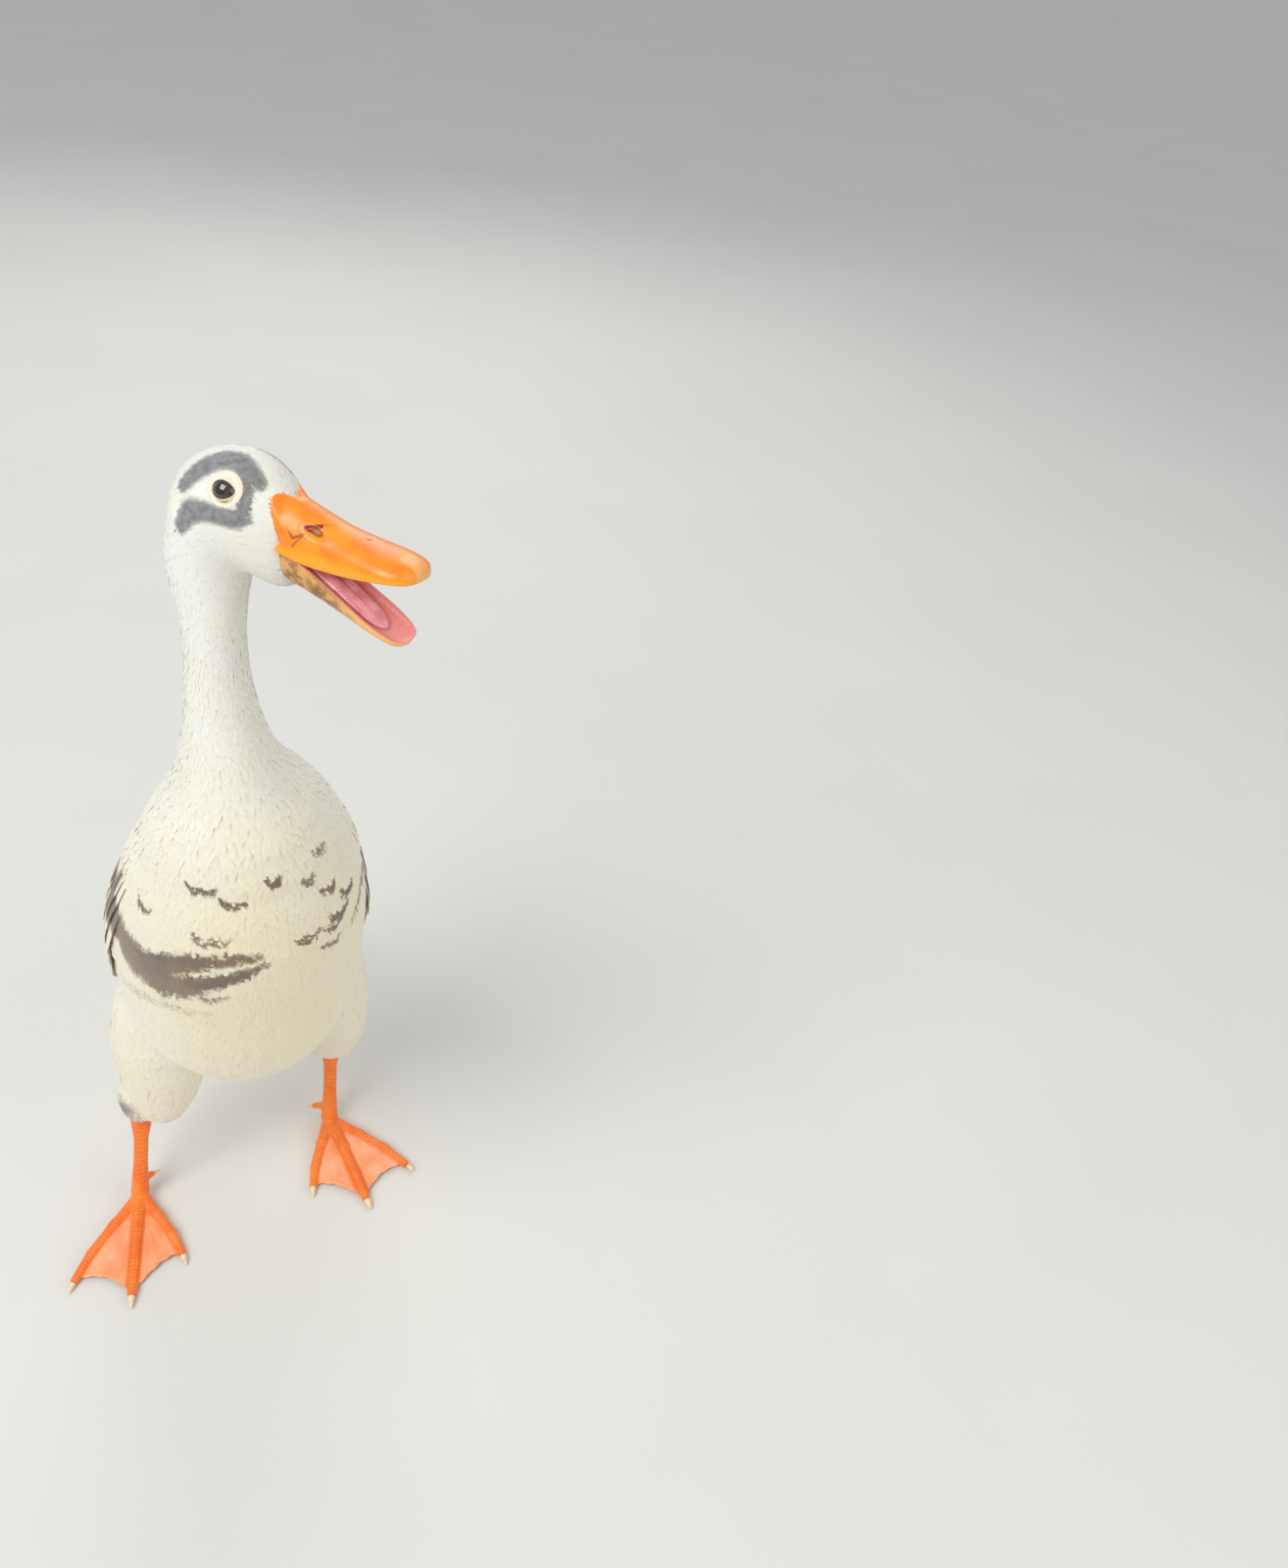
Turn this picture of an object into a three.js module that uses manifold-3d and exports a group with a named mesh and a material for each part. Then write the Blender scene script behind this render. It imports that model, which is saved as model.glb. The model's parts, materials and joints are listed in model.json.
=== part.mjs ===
// A life-size Indian runner duck: an upright, bottle-shaped duck that stands with
// its head turned to its left and its bill open.
// Millimetres, +Z up. The body faces -Y, and the duck's left side is +X.
import * as THREE from "three";
import { mergeVertices } from "three/addons/utils/BufferGeometryUtils.js";
import Module from "manifold-3d";

const wasm = await Module();
wasm.setup();

// Driving dimensions
const GAP = 0.3; // left between solids that touch
const CLAW_GAP = 0.5; // left between a toe and its claw, whose ends aren't quite parallel
const BODY_SIDES = 28; // points round the trunk and the neck
const STEPS_PER_STATION = 2.5; // rings from one body station to the next
const DEGREE = Math.PI / 180;

// Colours, as the plumage and the bare parts show them
const WHITE = 0xf2efe6;
const ORANGE = 0xf07a1e;
const PALE_HORN = 0xe8c9a0;
const BILL_ORANGE = 0xf08a14;
const JAW_YELLOW = 0xc9a27a;
const TONGUE_PINK = 0xd98f8f;
const EYE_BROWN = 0x2a1a12;

// The trunk, from the core of the tail up to the top of the neck. Each station has
// its centre, its half width, and its half depth to the back and to the front.
const BODY = [
  { part: "tail end", x: 6, y: 151, z: 104, wide: 13, back: 4, front: 4 },
  { part: "tail", x: 6, y: 128, z: 110, wide: 21, back: 8, front: 9 },
  { part: "tail root", x: 7, y: 104, z: 120, wide: 30, back: 16, front: 20 },
  { part: "rump", x: 8, y: 79, z: 139, wide: 45, back: 26, front: 38 },
  { part: "lower belly", x: 9.5, y: 56, z: 170, wide: 59.5, back: 40, front: 64 },
  { part: "belly", x: 11.5, y: 32, z: 211, wide: 64, back: 50, front: 76 },
  { part: "flank", x: 13, y: 8, z: 259, wide: 62.5, back: 54, front: 67 },
  { part: "breast", x: 14.5, y: -14, z: 307, wide: 55.5, back: 48, front: 57 },
  { part: "shoulder", x: 13, y: -26, z: 350, wide: 38.5, back: 36, front: 42 },
  { part: "neck root", x: 9.3, y: -31, z: 386, wide: 22.5, back: 24, front: 27 },
  { part: "lower neck", x: 7.6, y: -31, z: 420, wide: 15, back: 17, front: 18 },
  { part: "upper neck", x: 7.6, y: -29, z: 453, wide: 13.2, back: 15.5, front: 16 },
  { part: "nape", x: 8.5, y: -25.5, z: 482, wide: 18, back: 18, front: 16 },
  { part: "skull", x: 12.5, y: -27, z: 502, wide: 17.5, back: 17, front: 15 },
];
const TAIL_CUT = 1.7; // where the tail parts from the torso, in stations
const NECK_CUT = 8.9; // where the neck parts from the torso
const HEAD_CUT = 11.45; // where the head parts from the neck

// The head, in its own frame: x runs along the bill, y to its left, z up.
const HEAD_AT = vec(22.5, -29, 505);
const HEAD_TURN = 45 * DEGREE; // to the duck's left
const HEAD_NOD = -6.5 * DEGREE; // bill down
const HEAD_ROLL = -6 * DEGREE; // its left side up
const HEAD_SIDES = 24;
const HEAD = [
  { x: -30, z: -3, wide: 8, up: 8.5, down: 9 },
  { x: -25, z: -2, wide: 14, up: 15.5, down: 16 },
  { x: -15.5, z: -1, wide: 18.8, up: 21.4, down: 20 },
  { x: -3.5, z: 0, wide: 20, up: 23.6, down: 23 },
  { x: 8, z: 0, wide: 19, up: 23, down: 27 },
  { x: 16.5, z: -1.5, wide: 16.2, up: 20.2, down: 28 },
  { x: 22, z: -3, wide: 13, up: 16.5, down: 25.5 },
  { x: 26, z: -4, wide: 10, up: 12.5, down: 20.5 },
];
const EYE = { x: 5, y: 13.8, z: 10.4, radius: 5.4, tilt: 20 * DEGREE, rings: 8 };
const LID = { ring: 4.9, thick: 1, out: 2.3, long: 1.1, tall: 0.92 };
const MOUTH = { x: 26, z: -12, long: 11, wide: 8, tall: 5.5 };

// The bill. Its stations run from the face to the tip, past a root inside the head.
const BILL_AT = vec(22, 0, -8); // the hinge of the jaws, in the head's frame
const UPPER_NOD = 4 * DEGREE;
const LOWER_NOD = 31 * DEGREE;
const BILL_SIDES = 20;
const UPPER_BILL = [
  { x: -8, wide: 10.5, tall: 18, hollow: 3, lip: 2 },
  { x: 1, wide: 12.4, tall: 19.5, hollow: 3.5, lip: 2.4 },
  { x: 11, wide: 12, tall: 15, hollow: 4, lip: 4.6 },
  { x: 23, wide: 11.6, tall: 11, hollow: 3.6, lip: 5.4 },
  { x: 37, wide: 12.6, tall: 8.4, hollow: 3, lip: 4 },
  { x: 48, wide: 13, tall: 6.8, hollow: 2.4, lip: 2.4 },
  { x: 55.5, wide: 11, tall: 5.2, hollow: 1.8, lip: 1.6 },
  { x: 58.8, wide: 6.5, tall: 3.4, hollow: 0.8, lip: 1.3 },
];
const LOWER_BILL = [
  { x: -8, wide: 9, tall: 13, hollow: 2, lip: 0.6 },
  { x: 4, wide: 10.4, tall: 16, hollow: 3.2, lip: 0.6 },
  { x: 18, wide: 10.2, tall: 13, hollow: 4, lip: 0.6 },
  { x: 34, wide: 10.6, tall: 9.2, hollow: 3.8, lip: 0.6 },
  { x: 48, wide: 10.8, tall: 5.8, hollow: 3.2, lip: 0.6 },
  { x: 57, wide: 9, tall: 4, hollow: 2.2, lip: 0.6 },
  { x: 61, wide: 5.5, tall: 2.8, hollow: 1, lip: 0.6 },
];
const NOSTRIL = { x: 17, y: 9.8, z: 7.6, long: 4.2, tall: 1.7, deep: 2.6 };
const TONGUE_SIDES = 12;
const TONGUE = [
  { x: -2, z: -2.4, wide: 4.5, tall: 2.2 },
  { x: 12, z: -2, wide: 5.6, tall: 2.6 },
  { x: 30, z: -1.8, wide: 5.8, tall: 2.4 },
  { x: 44, z: -2, wide: 5.6, tall: 1.8 },
  { x: 50, z: -2.2, wide: 3.6, tall: 1.2 },
];

// The legs. side is +1 for the duck's left and -1 for its right. A leg's hock leans
// to the duck's left of its toes. tuck is how much of THIGH's bend inwards it takes.
const LEGS = [
  {
    name: "left",
    side: 1,
    x: 62,
    y: 60,
    toeOut: 10 * DEGREE,
    lean: 4.5,
    hip: 44,
    tuck: -0.2,
  },
  {
    name: "right",
    side: -1,
    x: 61,
    y: 32,
    toeOut: 8 * DEGREE,
    lean: 7.5,
    hip: 35,
    tuck: 1,
  },
];
const HOCK = { back: 14, z: 64 };
const SHANK = { sides: 10, radius: 4.4, knee: 2.6, root: 3.5, end: 6 };
const TOES = [
  { name: "inner", turn: -31 * DEGREE, long: 53, thick: 4, claw: 8 },
  { name: "middle", turn: 0, long: 69, thick: 4.4, claw: 9 },
  { name: "outer", turn: 31 * DEGREE, long: 65, thick: 3.9, claw: 7 },
];
const TOE_SIDES = 8;
const TOE_JOINTS = [0, 0.3, 0.38, 0.46, 0.62, 0.7, 0.78, 1]; // as shares of its length
const TOE_KNUCKLES = [2, 5]; // the joints that swell
const TOE_FLAT = 0.88; // a toe's height above the floor, as a share of its radius
const TOE_BOW = 0.1; // how far the side toes bow outwards, as a share of their turn
const HIND_TOE = { turn: -140 * DEGREE, from: 3, z: 17, drop: 5, long: 9, thick: 2.8 };
const HIND_CLAW = 5;
const WEB = { thick: 1.2, from: 0.04, to: 0.965, hollow: 0.11, arch: 1.2, low: 1.4 };
const WEB_STEPS = 5;
// The thigh runs from the hip, beside station HIP of the body, down to the hock. in is
// how far it lies towards the other leg from that line.
const HIP = 4.25;
const THIGH_SIDES = 16;
const THIGH_LOW = 4; // the height of its lower end over the hock
const THIGH = [
  { down: 0, in: 0, radius: 24 },
  { down: 0.2, in: 0, radius: 29 },
  { down: 0.42, in: 2, radius: 29 },
  { down: 0.64, in: 6, radius: 26 },
  { down: 0.84, in: 9, radius: 21.5 },
  { down: 0.96, in: 9, radius: 17 },
  { down: 1, in: 6, radius: 10 },
];

// The wings lie over the trunk. Places on them are a station of the body, an angle
// in degrees round it from the middle of the back, and a lift above its surface.
const WING_EDGE = [
  { at: 3, high: 16, low: 64, thick: 2 },
  { at: 3.7, high: 14, low: 79, thick: 3 },
  { at: 4.6, high: 14, low: 88, thick: 4.2 },
  { at: 5.6, high: 16, low: 94, thick: 4.6 },
  { at: 6.6, high: 22, low: 96, thick: 4.6 },
  { at: 7.5, high: 34, low: 94, thick: 4.4 },
  { at: 8, high: 60, low: 88, thick: 3 },
];
const WING_ROWS = 8;
const WING_COLUMNS = 6;
const WING_RIM = 0.6; // the lift of the wing's thin edge
const WING_UNDER = -3; // the wing is made this far into the trunk, then cut by it

// Tiers of vanes. Each feather runs from a root under the wing's surface to a tip
// over it, and the feathers of a tier are spread from first to last.
const WING_TIERS = [
  {
    feathers: 4, // primaries
    first: { root: [4, 44], tip: [1.15, 22], over: 3, half: 6.5 },
    last: { root: [4, 64], tip: [2.1, 50], over: 2.5, half: 7.5 },
  },
  {
    feathers: 5, // secondaries
    first: { root: [5, 46], tip: [2.25, 36], over: 6, half: 9.5 },
    last: { root: [5, 83], tip: [3.1, 75], over: 4, half: 9.5 },
  },
  {
    feathers: 3, // tertials
    first: { root: [5.2, 22], tip: [2, 16], over: 8, half: 8.5 },
    last: { root: [5.2, 40], tip: [2.4, 31], over: 9, half: 9.5 },
  },
  {
    feathers: 5, // greater coverts
    first: { root: [6.2, 42], tip: [3.95, 38], over: 4.5, half: 9.5 },
    last: { root: [6.1, 88], tip: [4.3, 84], over: 4, half: 8.5 },
  },
  {
    feathers: 4, // median coverts
    first: { root: [7.1, 48], tip: [5.3, 44], over: 4, half: 10 },
    last: { root: [7, 88], tip: [5.3, 88], over: 3.5, half: 9 },
  },
  {
    feathers: 3, // scapulars
    first: { root: [6.9, 24], tip: [4, 13], over: 6, half: 8.5 },
    last: { root: [7, 42], tip: [4.3, 34], over: 7.5, half: 9.5 },
  },
];
const WING_TILT = 13 * DEGREE; // lays each feather over the next like a roof tile
const VANE_ROOT = -2.5; // a feather's root lies this far under the wing's surface
const VANE_THICK = 0.9;
// How wide a feather is along its length, as shares of its half width
const VANE_SHAPE = [
  [0, 0.5],
  [0.42, 1],
  [0.8, 0.95],
  [0.95, 0.55],
];

// The tail's fans of feathers. rise is the height of the middle feather over the
// tail's centre line at the root, and step is how much lower each next one lies.
const TAIL_FANS = [
  { feathers: 8, spread: 15, root: 0.9, long: 68, half: 7.5, rise: 4, step: 1.2 },
  { feathers: 3, spread: 11, root: 1.4, long: 54, half: 9, rise: 9, step: 1.2 },
  { feathers: 3, spread: 11, root: 1.3, long: 46, half: 9, rise: -9, step: -1.2 },
];

// Small helpers for numbers, curves and directions
function vec(x = 0, y = 0, z = 0) {
  return new THREE.Vector3(x, y, z);
}
const mix = (a, b, t) => a + (b - a) * t;
const steps = (count, make) => Array.from({ length: count }, (_, i) => make(i));
const around = (sides, make) => steps(sides, (i) => make((i / sides) * 2 * Math.PI));

// Runs a smooth curve through one number of each station, and reads it at place.
function smooth(stations, key, place) {
  const last = stations.length - 1;
  const i = THREE.MathUtils.clamp(Math.floor(place), 0, last - 1);
  const t = place - i;
  const [p0, p1, p2, p3] = [i - 1, i, i + 1, i + 2].map(
    (k) => stations[THREE.MathUtils.clamp(k, 0, last)][key],
  );
  const bend = 2 * p0 - 5 * p1 + 4 * p2 - p3;
  const twist = 3 * p1 - p0 - 3 * p2 + p3;
  return 0.5 * (2 * p1 + t * (p2 - p0 + t * (bend + t * twist)));
}

// Solids: closed triangle meshes that can be joined and cut
function solid(points, triangles) {
  const volume = triangles.reduce(
    (sum, [a, b, c]) => sum + points[a].dot(points[b].clone().cross(points[c])),
    0,
  );
  const order = volume < 0 ? [0, 2, 1] : [0, 1, 2];
  return new wasm.Manifold(
    new wasm.Mesh({
      numProp: 3,
      vertProperties: new Float32Array(points.flatMap((p) => [p.x, p.y, p.z])),
      triVerts: new Uint32Array(triangles.flatMap((t) => order.map((k) => t[k]))),
    }),
  );
}

// Joins rings of points into one closed skin, with a point at each end.
function loft(rings, first = null, last = null) {
  const sides = rings[0].length;
  const middle = (ring) =>
    ring.reduce((sum, p) => sum.add(p), vec()).divideScalar(sides);
  const points = [...rings.flat()];
  const start = points.push(first ?? middle(rings[0])) - 1;
  const end = points.push(last ?? middle(rings.at(-1))) - 1;
  const triangles = [];
  for (let i = 0; i < sides; i++) {
    const next = (i + 1) % sides;
    triangles.push([start, next, i]);
    for (let r = 0; r < rings.length - 1; r++) {
      const [a, b] = [r * sides, (r + 1) * sides];
      triangles.push([a + i, a + next, b + i], [a + next, b + next, b + i]);
    }
    const top = (rings.length - 1) * sides;
    triangles.push([end, top + i, top + next]);
  }
  return solid(points, triangles);
}

// A closed sheet between two grids of points, split alike on both faces.
function sheet(upper, lower) {
  const [rows, columns] = [upper.length, upper[0].length];
  const points = [...upper.flat(), ...lower.flat()];
  const under = rows * columns;
  const triangles = [];
  for (let r = 0; r < rows - 1; r++) {
    for (let c = 0; c < columns - 1; c++) {
      const a = r * columns + c;
      for (const [p, q, s] of [
        [a, a + 1, a + columns],
        [a + 1, a + columns + 1, a + columns],
      ]) {
        triangles.push([p, q, s], [p + under, s + under, q + under]);
      }
    }
  }
  const rim = [
    ...steps(columns - 1, (c) => c),
    ...steps(rows - 1, (r) => (r + 1) * columns - 1),
    ...steps(columns - 1, (c) => rows * columns - 1 - c),
    ...steps(rows - 1, (r) => (rows - 1 - r) * columns),
  ];
  rim.forEach((a, i) => {
    const b = rim[(i + 1) % rim.length];
    triangles.push([a, a + under, b], [b, a + under, b + under]);
  });
  return solid(points, triangles);
}

// Turns a three.js shape, moved into place, into a solid.
function solidOf(geometry, matrix = new THREE.Matrix4()) {
  const bare = geometry.index ? geometry.toNonIndexed() : geometry.clone();
  bare.deleteAttribute("normal");
  bare.deleteAttribute("uv");
  const merged = mergeVertices(bare.applyMatrix4(matrix), 1e-4);
  const place = merged.getAttribute("position");
  const points = steps(place.count, (i) => vec().fromBufferAttribute(place, i));
  const triangles = [];
  for (let i = 0; i < merged.index.count; i += 3) {
    const corners = [0, 1, 2].map((k) => merged.index.getX(i + k));
    if (new Set(corners).size === 3) triangles.push(corners);
  }
  return solid(points, triangles);
}

const join = (solids) => wasm.Manifold.union(solids);
const cut = (made, cutters) => cutters.reduce((left, by) => left.subtract(by), made);

// Keeps the largest closed surface, without loose scraps or sealed hollows.
function largest(made) {
  return made
    .decompose()
    .reduce((best, body) => (body.volume() > best.volume() ? body : best));
}

// All that lies on the side of a plane that its normal points to, as a big block.
function halfSpace(point, normal) {
  const size = 1000;
  const turn = new THREE.Quaternion().setFromUnitVectors(vec(0, 0, 1), normal);
  const centre = point.clone().addScaledVector(normal, size / 2);
  const matrix = new THREE.Matrix4().compose(centre, turn, vec(1, 1, 1));
  return solidOf(new THREE.BoxGeometry(size, size, size), matrix);
}

// An ellipsoid with its half axes along the axes of a frame.
function ellipsoid(frame, centre, half, detail = 10) {
  const place = new THREE.Matrix4().compose(centre, new THREE.Quaternion(), half);
  const ball = new THREE.SphereGeometry(1, detail * 2, detail);
  return solidOf(ball, frame.clone().multiply(place));
}

// A tube of round rings along a path. Each step has a point and a radius.
function tube(path, sides, first = null, last = null) {
  const rings = path.map(({ at, radius }, i) => {
    const from = path[Math.max(i - 1, 0)].at;
    const to = path[Math.min(i + 1, path.length - 1)].at;
    const axis = to.clone().sub(from).normalize();
    const across = vec(1, 0, 0).addScaledVector(axis, -axis.x).normalize();
    const over = axis.clone().cross(across);
    return around(sides, (angle) =>
      at
        .clone()
        .addScaledVector(across, radius * Math.cos(angle))
        .addScaledVector(over, radius * Math.sin(angle)),
    );
  });
  return loft(rings, first, last);
}

// The trunk and neck
const bodyCentre = (s) => vec(...["x", "y", "z"].map((key) => smooth(BODY, key, s)));

// The centre of the body's section at station s, and the directions along the body,
// to its left and to its back.
function bodyFrame(s) {
  const step = 0.05;
  const low = Math.max(s - step, 0);
  const high = Math.min(s + step, BODY.length - 1);
  const axis = bodyCentre(high).sub(bodyCentre(low)).normalize();
  const left = vec(1, 0, 0).addScaledVector(axis, -axis.x).normalize();
  return { centre: bodyCentre(s), axis, left, back: axis.clone().cross(left) };
}

// A point at a lift over the trunk, at an angle round station s from the middle of
// the back towards its left.
function overBody(s, angle, lift) {
  const { centre, left, back } = bodyFrame(s);
  const depth = smooth(BODY, Math.cos(angle) > 0 ? "back" : "front", s) + lift;
  const width = smooth(BODY, "wide", s) + lift;
  return centre
    .addScaledVector(left, width * Math.sin(angle))
    .addScaledVector(back, depth * Math.cos(angle));
}

function bodySolid(grow = 0) {
  const last = BODY.length - 1;
  const count = Math.ceil(last * STEPS_PER_STATION);
  return loft(
    steps(count + 1, (i) =>
      around(BODY_SIDES, (angle) => overBody((last * i) / count, angle, grow)),
    ),
  );
}

// What lies towards the head (side 1) or the tail (side -1) of a cut at station s.
function pastCut(s, side) {
  const { centre, axis } = bodyFrame(s);
  const normal = axis.multiplyScalar(side);
  return halfSpace(centre.addScaledVector(normal, GAP / 2), normal);
}

// Feathers: a vane is a thin blade with a narrowing tip. spine gives the middle of
// the feather and the way out of the body, at a share of its length. grow makes it
// larger all round.
function vane(spine, half, tilt, grow = 0) {
  const step = 0.02;
  const rings = VANE_SHAPE.map(([u, share]) => {
    const { at, out } = spine(u);
    const along = spine(u + step).at.sub(spine(Math.max(u - step, 0)).at).normalize();
    const across = along.clone().cross(out).normalize();
    const up = across.clone().cross(along);
    across.applyAxisAngle(along, tilt);
    const width = half * share + grow;
    const face = VANE_THICK / 2 + grow;
    return [
      [-width, -face],
      [-width, face],
      [width, face],
      [width, -face],
    ].map(([a, h]) => at.clone().addScaledVector(across, a).addScaledVector(up, h));
  });
  return loft(rings, null, spine(1).at);
}

// The lift of the wing's upper surface over the trunk, at a station and an angle.
function wingTop(at, angle) {
  const i = WING_EDGE.findIndex((edge) => edge.at >= at);
  if (i < 1) return 0;
  const [a, b] = [WING_EDGE[i - 1], WING_EDGE[i]];
  const t = (at - a.at) / (b.at - a.at);
  const [high, low, thick] = ["high", "low", "thick"].map((k) => mix(a[k], b[k], t));
  const share = (angle - high) / (low - high);
  if (share <= 0 || share >= 1) return WING_RIM;
  return WING_RIM + (thick - WING_RIM) * Math.sqrt(Math.sin(Math.PI * share));
}

// The covered core of a wing, from its wrist down to the roots of its long feathers.
function wingCore(side) {
  const [first, last] = [WING_EDGE[0].at, WING_EDGE.at(-1).at];
  const face = (lift) =>
    steps(WING_ROWS, (r) => {
      const at = mix(first, last, r / (WING_ROWS - 1));
      const i = Math.max(WING_EDGE.findIndex((edge) => edge.at >= at - 1e-6), 1);
      const [a, b] = [WING_EDGE[i - 1], WING_EDGE[i]];
      const t = (at - a.at) / (b.at - a.at);
      return steps(WING_COLUMNS, (c) => {
        const share = c / (WING_COLUMNS - 1);
        const angle = mix(mix(a.high, b.high, t), mix(a.low, b.low, t), share);
        return overBody(at, side * angle * DEGREE, lift(at, angle));
      });
    });
  return sheet(
    face(wingTop),
    face(() => WING_UNDER),
  );
}

function wingVanes(side) {
  return WING_TIERS.flatMap(({ feathers, first, last }) =>
    steps(feathers, (i) => {
      const t = i / (feathers - 1);
      const blend = (key) =>
        Array.isArray(first[key])
          ? first[key].map((v, k) => mix(v, last[key][k], t))
          : mix(first[key], last[key], t);
      const [root, tip, over, half] = ["root", "tip", "over", "half"].map(blend);
      const start = wingTop(...root) + VANE_ROOT;
      const end = wingTop(...tip) + over;
      const spine = (u) => {
        const place = root.map((v, k) => mix(v, tip[k], u));
        const [s, angle] = [place[0], side * place[1] * DEGREE];
        const at = overBody(s, angle, mix(start, end, u));
        const out = overBody(s, angle, mix(start, end, u) + 1).sub(at);
        return { at, out };
      };
      return vane(spine, half, side * WING_TILT);
    }),
  );
}

function tailVanes(grow = 0) {
  return TAIL_FANS.flatMap(({ feathers, spread, root, long, half, rise, step }) =>
    steps(feathers, (i) => {
      const side = (2 * i) / (feathers - 1) - 1;
      const angle = side * spread * DEGREE;
      const below = Math.floor(Math.abs(side) * (feathers - 1) + (side > 0 ? 0.5 : 0));
      const { centre, axis, left, back } = bodyFrame(root);
      const way = axis.multiplyScalar(-Math.cos(angle));
      way.addScaledVector(left, Math.sin(angle));
      const start = centre
        .addScaledVector(left, side * half)
        .addScaledVector(back, rise - step * below);
      const spine = (u) => ({
        at: start.clone().addScaledVector(way, long * u),
        out: back,
      });
      return vane(spine, half, 0, grow);
    }),
  );
}

// The head
const turned = (axis, angle) => new THREE.Quaternion().setFromAxisAngle(axis, angle);
const placed = (at, turn) => new THREE.Matrix4().compose(at, turn, vec(1, 1, 1));
const headFrame = placed(
  HEAD_AT,
  turned(vec(0, 0, 1), HEAD_TURN - Math.PI / 2)
    .multiply(turned(vec(0, 1, 0), HEAD_NOD))
    .multiply(turned(vec(1, 0, 0), HEAD_ROLL)),
);
const jawFrame = (nod) =>
  headFrame.clone().multiply(placed(BILL_AT, turned(vec(0, 1, 0), nod)));
const moved = (points, frame) => points.map((p) => p.clone().applyMatrix4(frame));

function headSolid(grow = 0) {
  const rings = steps((HEAD.length - 1) * 2 + 1, (i) =>
    around(HEAD_SIDES, (angle) => {
      const height = smooth(HEAD, Math.cos(angle) > 0 ? "up" : "down", i / 2) + grow;
      return vec(
        smooth(HEAD, "x", i / 2),
        (smooth(HEAD, "wide", i / 2) + grow) * Math.sin(angle),
        smooth(HEAD, "z", i / 2) + height * Math.cos(angle),
      );
    }),
  );
  const end = 2.5 + grow; // how far the head bulges past its end stations
  const back = vec(HEAD[0].x - end, 0, HEAD[0].z);
  const face = vec(HEAD.at(-1).x + end, 0, HEAD.at(-1).z);
  return loft(
    rings.map((ring) => moved(ring, headFrame)),
    ...moved([back, face], headFrame),
  );
}

// An eyeball, which looks out to its side and a little up.
function eyeBall(side, grow = 0) {
  const half = EYE.radius + grow;
  const centre = vec(EYE.x, side * EYE.y, EYE.z);
  return ellipsoid(headFrame, centre, vec(half, half, half), EYE.rings);
}

// The ring of bare lid round an eye.
function eyeLid(side) {
  const centre = vec(
    EYE.x,
    side * (EYE.y + LID.out * Math.cos(EYE.tilt)),
    EYE.z + LID.out * Math.sin(EYE.tilt),
  );
  const turn = turned(vec(1, 0, 0), -side * (Math.PI / 2 - EYE.tilt));
  const place = new THREE.Matrix4().compose(centre, turn, vec(LID.long, LID.tall, 1));
  const ring = new THREE.TorusGeometry(LID.ring, LID.thick, 5, 14);
  return solidOf(ring, headFrame.clone().multiply(place));
}

// One jaw: an arched outer side and a hollow inner side. rise is 1 up or -1 down.
function jaw(stations, frame, rise, grow = 0) {
  const count = (stations.length - 1) * 2;
  const rings = steps(count + 1, (i) => {
    const [wide, tall, hollow, lip] = ["wide", "tall", "hollow", "lip"].map((key) =>
      smooth(stations, key, i / 2),
    );
    const x = smooth(stations, "x", i / 2) + (i === count ? grow : 0);
    const ring = around(BILL_SIDES, (angle) => {
      const up = Math.cos(angle);
      const outer = (tall + grow) * up;
      const inner = -lip - grow + (hollow + lip) * Math.pow(Math.abs(up), 0.7);
      return vec(x, (wide + grow) * Math.sin(angle), rise * (up > 0 ? outer : inner));
    });
    return moved(ring, frame);
  });
  return loft(rings);
}

function tongueSolid() {
  const rings = TONGUE.map(({ x, z, wide, tall }) =>
    moved(
      around(TONGUE_SIDES, (angle) =>
        vec(x, wide * Math.sin(angle), z + tall * Math.cos(angle)),
      ),
      lowerFrame,
    ),
  );
  return loft(rings);
}

// A leg's own frame: across is away from the other leg, on is towards the toes.
function legPlace(leg) {
  const turn = new THREE.Matrix4().makeRotationZ(leg.side * leg.toeOut);
  const frame = new THREE.Matrix4().makeTranslation(leg.side * leg.x, leg.y, 0);
  frame.multiply(turn);
  return (across, on, z) => vec(leg.side * across, -on, z).applyMatrix4(frame);
}

// A point at a reach from the foot's middle, turned outwards from straight ahead.
const ahead = (place, turn, reach, z) =>
  place(reach * Math.sin(turn), reach * Math.cos(turn), z);
// The turn of a bowed toe at a share of its length
const bowed = (turn, u) => turn * (1 + TOE_BOW * Math.sin(Math.PI * u));

function hockOf(leg) {
  return vec(leg.side * leg.x + leg.lean, leg.y + HOCK.back, HOCK.z);
}

function toe(place, { turn, long, thick }) {
  const path = TOE_JOINTS.map((u, i) => {
    const radius = thick * mix(1.1, 0.66, u) * (TOE_KNUCKLES.includes(i) ? 1.14 : 1);
    return { at: ahead(place, bowed(turn, u), long * u, radius * TOE_FLAT), radius };
  });
  return tube(path, TOE_SIDES);
}

function claw(place, { turn, long, thick, claw }) {
  const past = (reach, z) => ahead(place, bowed(turn, reach / long), reach, z);
  const path = [0, 0.35, 0.7].map((u) => {
    const radius = thick * 0.6 * (1 - 0.75 * u);
    const z = thick * 0.58 * (1 - 0.55 * u) + 0.6;
    return { at: past(long + CLAW_GAP + claw * u, z), radius };
  });
  return tube(path, 6, null, past(long + claw, 0.5));
}

// The web between two toes, hollowed at its front edge.
function web(place, a, b) {
  const face = (lift) =>
    steps(WEB_STEPS, (r) =>
      steps(WEB_STEPS, (c) => {
        const v = c / (WEB_STEPS - 1);
        const edge = WEB.to - WEB.hollow * Math.sin(Math.PI * v);
        const u = mix(WEB.from, edge, r / (WEB_STEPS - 1));
        const arch = WEB.arch * Math.sin(Math.PI * v) * Math.sin(Math.PI * u);
        const z = WEB.low + 2 * (1 - u) + arch + lift;
        const turn = bowed(mix(a.turn, b.turn, v), u);
        return ahead(place, turn, mix(a.long, b.long, v) * u, z);
      }),
    );
  return sheet(face(WEB.thick), face(0));
}

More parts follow.
